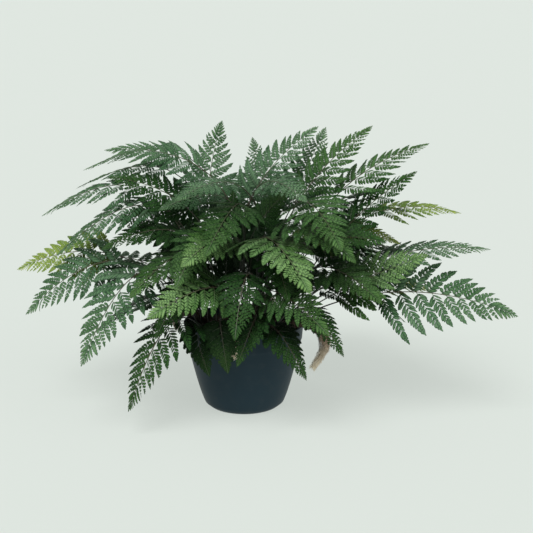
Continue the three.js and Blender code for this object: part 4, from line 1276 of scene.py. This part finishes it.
def pot_profile():
    """Half of the pot's section: from its underside up the outside, over the lip and down the inside."""
    levels = np.concatenate([[6], np.linspace(10, COLLAR_BOTTOM - 1.5, WALL_RINGS)])
    lip = RIM_RADIUS + LIP_OUT
    foot = [(0, 0), (POT_FOOT_RADIUS - 1.2, 0), (POT_FOOT_RADIUS, 0.3), (POT_FOOT_RADIUS + 1.6, 1.6)]
    outer = [(float(pot_radius(z)), z) for z in levels]
    collar = [(COLLAR_RADIUS - 0.5, COLLAR_BOTTOM - 0.7), (COLLAR_RADIUS, COLLAR_BOTTOM + 0.3),
              (COLLAR_RADIUS + 0.1, COLLAR_BOTTOM + 1.5), (RIM_RADIUS, POT_HEIGHT - 3.4)]
    rim = [(lip - 0.4, POT_HEIGHT - 3.1), (lip, POT_HEIGHT - 2.4), (lip, POT_HEIGHT - 0.7),
           (lip - 0.5, POT_HEIGHT - 0.1), (lip - 1.0, POT_HEIGHT),
           (RIM_RADIUS - POT_WALL + 0.5, POT_HEIGHT), (RIM_RADIUS - POT_WALL, POT_HEIGHT - 0.6)]
    inner = [(COLLAR_RADIUS - POT_WALL, COLLAR_BOTTOM)]
    inner += [(float(pot_radius(z)) - POT_WALL, z) for z in levels[::-1]]
    return foot + outer + collar + rim + inner + [(POT_FOOT_RADIUS, POT_FLOOR), (0, POT_FLOOR)]


def drain_cutter():
    low, high = -POT_FLOOR, 2 * POT_FLOOR
    points, faces = lathe([(0, low), (DRAIN_RADIUS, low), (DRAIN_RADIUS, high), (0, high)], HOLE_SIDES)
    holes = Skin()
    for i in range(DRAIN_HOLES):
        a = 2 * math.pi * (i + 0.5) / DRAIN_HOLES
        holes.add(points + np.array([DRAIN_CIRCLE * math.cos(a), DRAIN_CIRCLE * math.sin(a), 0]), faces)
    return new_object("cutter", *holes.arrays()[:2])


def make_pot():
    body = new_object("nursery_pot", *lathe(pot_profile(), POT_SIDES))
    cutter = drain_cutter()
    cut = body.modifiers.new("holes", "BOOLEAN")
    cut.operation = "DIFFERENCE"
    cut.object = cutter
    cut.solver = "EXACT"
    ready = bpy.context.evaluated_depsgraph_get()
    mesh = bpy.data.meshes.new_from_object(body.evaluated_get(ready))
    body.modifiers.clear()
    body.data = mesh
    bpy.data.objects.remove(cutter)
    mesh.materials.clear()
    mesh.materials.append(pot_material())
    smooth(mesh, sharp_angle=35)
    stands_for(body, "pot")


def grow_soil(skin, rng):
    """The plug of soil, with an uneven top."""
    bottom = POT_FLOOR + SOIL_GAP
    profile = [(0, bottom), (POT_FOOT_RADIUS - SOIL_GAP, bottom)]
    profile += [(float(pot_radius(z)) - (POT_WALL + SOIL_GAP), z) for z in SOIL_LEVELS]
    top = [SOIL_EDGE * share for share in np.linspace(1, 0.02, SOIL_RINGS)] + [0]
    profile += [(r, soil_top(r, 0)) for r in top]
    points, faces = lathe(profile, SOIL_SIDES)
    top = points[:, 2] > SOIL_RIM_LEVEL - 1
    x, y = points[top, 0], points[top, 1]
    hills = 0.7 * np.sin(x * 0.31 + 1.3) * np.sin(y * 0.27)
    hills += 0.5 * np.sin(x * 0.9 + y * 0.5) * np.sin(y * 0.8 - x * 0.2)
    points[top, 2] += hills + rng.normal(0, LUMPS, len(x))
    skin.add(points, faces, LEAF, (0, 0, SOIL_TINT))


def grow_crumbs(skin, rng):
    r = (SOIL_EDGE - CRUMB_EDGE) * np.sqrt(rng.uniform(0, 1, CRUMBS))
    a = rng.uniform(0, 2 * np.pi, CRUMBS)
    middle = np.stack([r * np.cos(a), r * np.sin(a), soil_top(r, 0) + CRUMB_RISE], -1)
    size = rng.uniform(0, 1, (CRUMBS, 1, 1)) ** 3 * (CRUMB_SIZE[1] - CRUMB_SIZE[0]) + CRUMB_SIZE[0]
    corners = len(CRUMB_POINTS)
    shape = rng.uniform(*CRUMB_SHAPE, (CRUMBS, 1, 3))
    shape = shape * (1 + rng.uniform(-CRUMB_DENTS, CRUMB_DENTS, (CRUMBS, corners, 3)))
    spin = rng.uniform(0, 2 * np.pi, CRUMBS)
    blob = turned(np.moveaxis(CRUMB_POINTS * size * shape, -1, 0), spin[:, None])
    faces = CRUMB_FACES + (np.arange(CRUMBS) * corners)[:, None, None]
    tint = np.repeat(rng.uniform(0, 1, CRUMBS), corners)
    skin.add((blob + middle[:, None]).reshape(-1, 3), faces.reshape(-1, 3), LEAF, on_axis(tint, 2))


def make_soil():
    rng = np.random.default_rng(SOIL_SEED)
    skin = Skin()
    grow_soil(skin, rng)
    grow_crumbs(skin, rng)
    stands_for(new_piece("potting_soil", skin, [soil_material()]), "soil")


def make_rhizomes():
    coat = fur_material()
    for k, (name, radius, path) in enumerate(PATHS):
        skin = Skin()
        rng = np.random.default_rng(RHIZOME_SEED + k)
        rhizome = Rhizome(radius, path)
        grow_core(skin, rhizome, rng)
        grow_hairs(skin, rhizome, rng)
        stands_for(new_piece("furry_" + name, skin, [coat]), name)


def make_fronds():
    leaves = {tone: leaf_material(tone) for tone in TONES}
    stalks = {tone: stalk_material(tone) for tone in TONES}
    by_node = {}
    for frond in lay_out():
        by_node.setdefault(frond.node, []).append(frond)
    for node, group in by_node.items():
        skin = Skin()
        for k, frond in enumerate(group):
            skin.add(*grow_blade(frond, np.random.default_rng(FROND_SEED * node + k)))
            skin.add(*grow_stalk(frond))
        name = f"frond_{node:02d}"
        tone = group[0].tone
        piece = new_piece("fern_" + name, skin, [leaves[tone], stalks[tone]], sharp_angle=50)
        stands_for(piece, name)


# Floor, light and camera.
CAMERA_AT = (0.036, -1.745, 0.6695)
CAMERA_TO = (0.036, 0.0, 0.228)
LENS = 76.4
FLOOR_SIZE = 400
FLOOR_COLOUR = (0.20, 0.212, 0.20)
# The floor also glows a little, painted light that fills in the plant's shadow on it.
FLOOR_GLOW = (0.93, 1.0, 0.94)
FLOOR_GLOW_STRENGTH = 0.535
WORLD_COLOUR = (0.95, 1.0, 0.97, 1)
WORLD_STRENGTH = 0.4
# Each sun: strength, and in degrees its softness, azimuth from the front and elevation.
SUNS = {"key": (2.7, 36, -25, 58), "fill": (0.75, 60, 60, 18)}


def make_stage():
    bpy.ops.mesh.primitive_plane_add(size=FLOOR_SIZE, location=(0, 0, 0))
    floor = bpy.context.object
    floor.name = "floor"
    paint = Paint("floor_pale", 0.9, 0.1)
    paint.set("Base Color", FLOOR_COLOUR)
    # Painted light: the floor glows, lifting the shadow under the plant.
    paint.set("Emission Color", FLOOR_GLOW)
    paint.set("Emission Strength", FLOOR_GLOW_STRENGTH)
    floor.data.materials.append(paint.material)


def aimed(name, data, towards):
    """An object that looks against this direction."""
    made = bpy.data.objects.new(name, data)
    made.rotation_mode = "QUATERNION"
    made.rotation_quaternion = towards.to_track_quat("Z", "Y")
    bpy.context.collection.objects.link(made)
    return made


def make_light():
    world = bpy.data.worlds.new("studio")
    bpy.context.scene.world = world
    world.use_nodes = True
    background = world.node_tree.nodes["Background"]
    background.inputs["Color"].default_value = WORLD_COLOUR
    background.inputs["Strength"].default_value = WORLD_STRENGTH
    for name, (strength, softness, azimuth, elevation) in SUNS.items():
        light = bpy.data.lights.new(name, "SUN")
        light.energy = strength
        light.angle = math.radians(softness)
        a, e = math.radians(azimuth), math.radians(elevation)
        aimed(name, light, Vector((math.sin(a) * math.cos(e), -math.cos(a) * math.cos(e), math.sin(e))))
    bpy.context.scene.view_settings.view_transform = "Standard"


def make_camera():
    camera = bpy.data.cameras.new("camera")
    camera.lens = LENS
    camera.sensor_width = 36
    camera.clip_start, camera.clip_end = 0.05, 500
    made = aimed("camera", camera, Vector(CAMERA_AT) - Vector(CAMERA_TO))
    made.location = CAMERA_AT
    bpy.context.scene.camera = made


make_pot()
make_soil()
make_rhizomes()
make_fronds()
make_stage()
make_light()
make_camera()
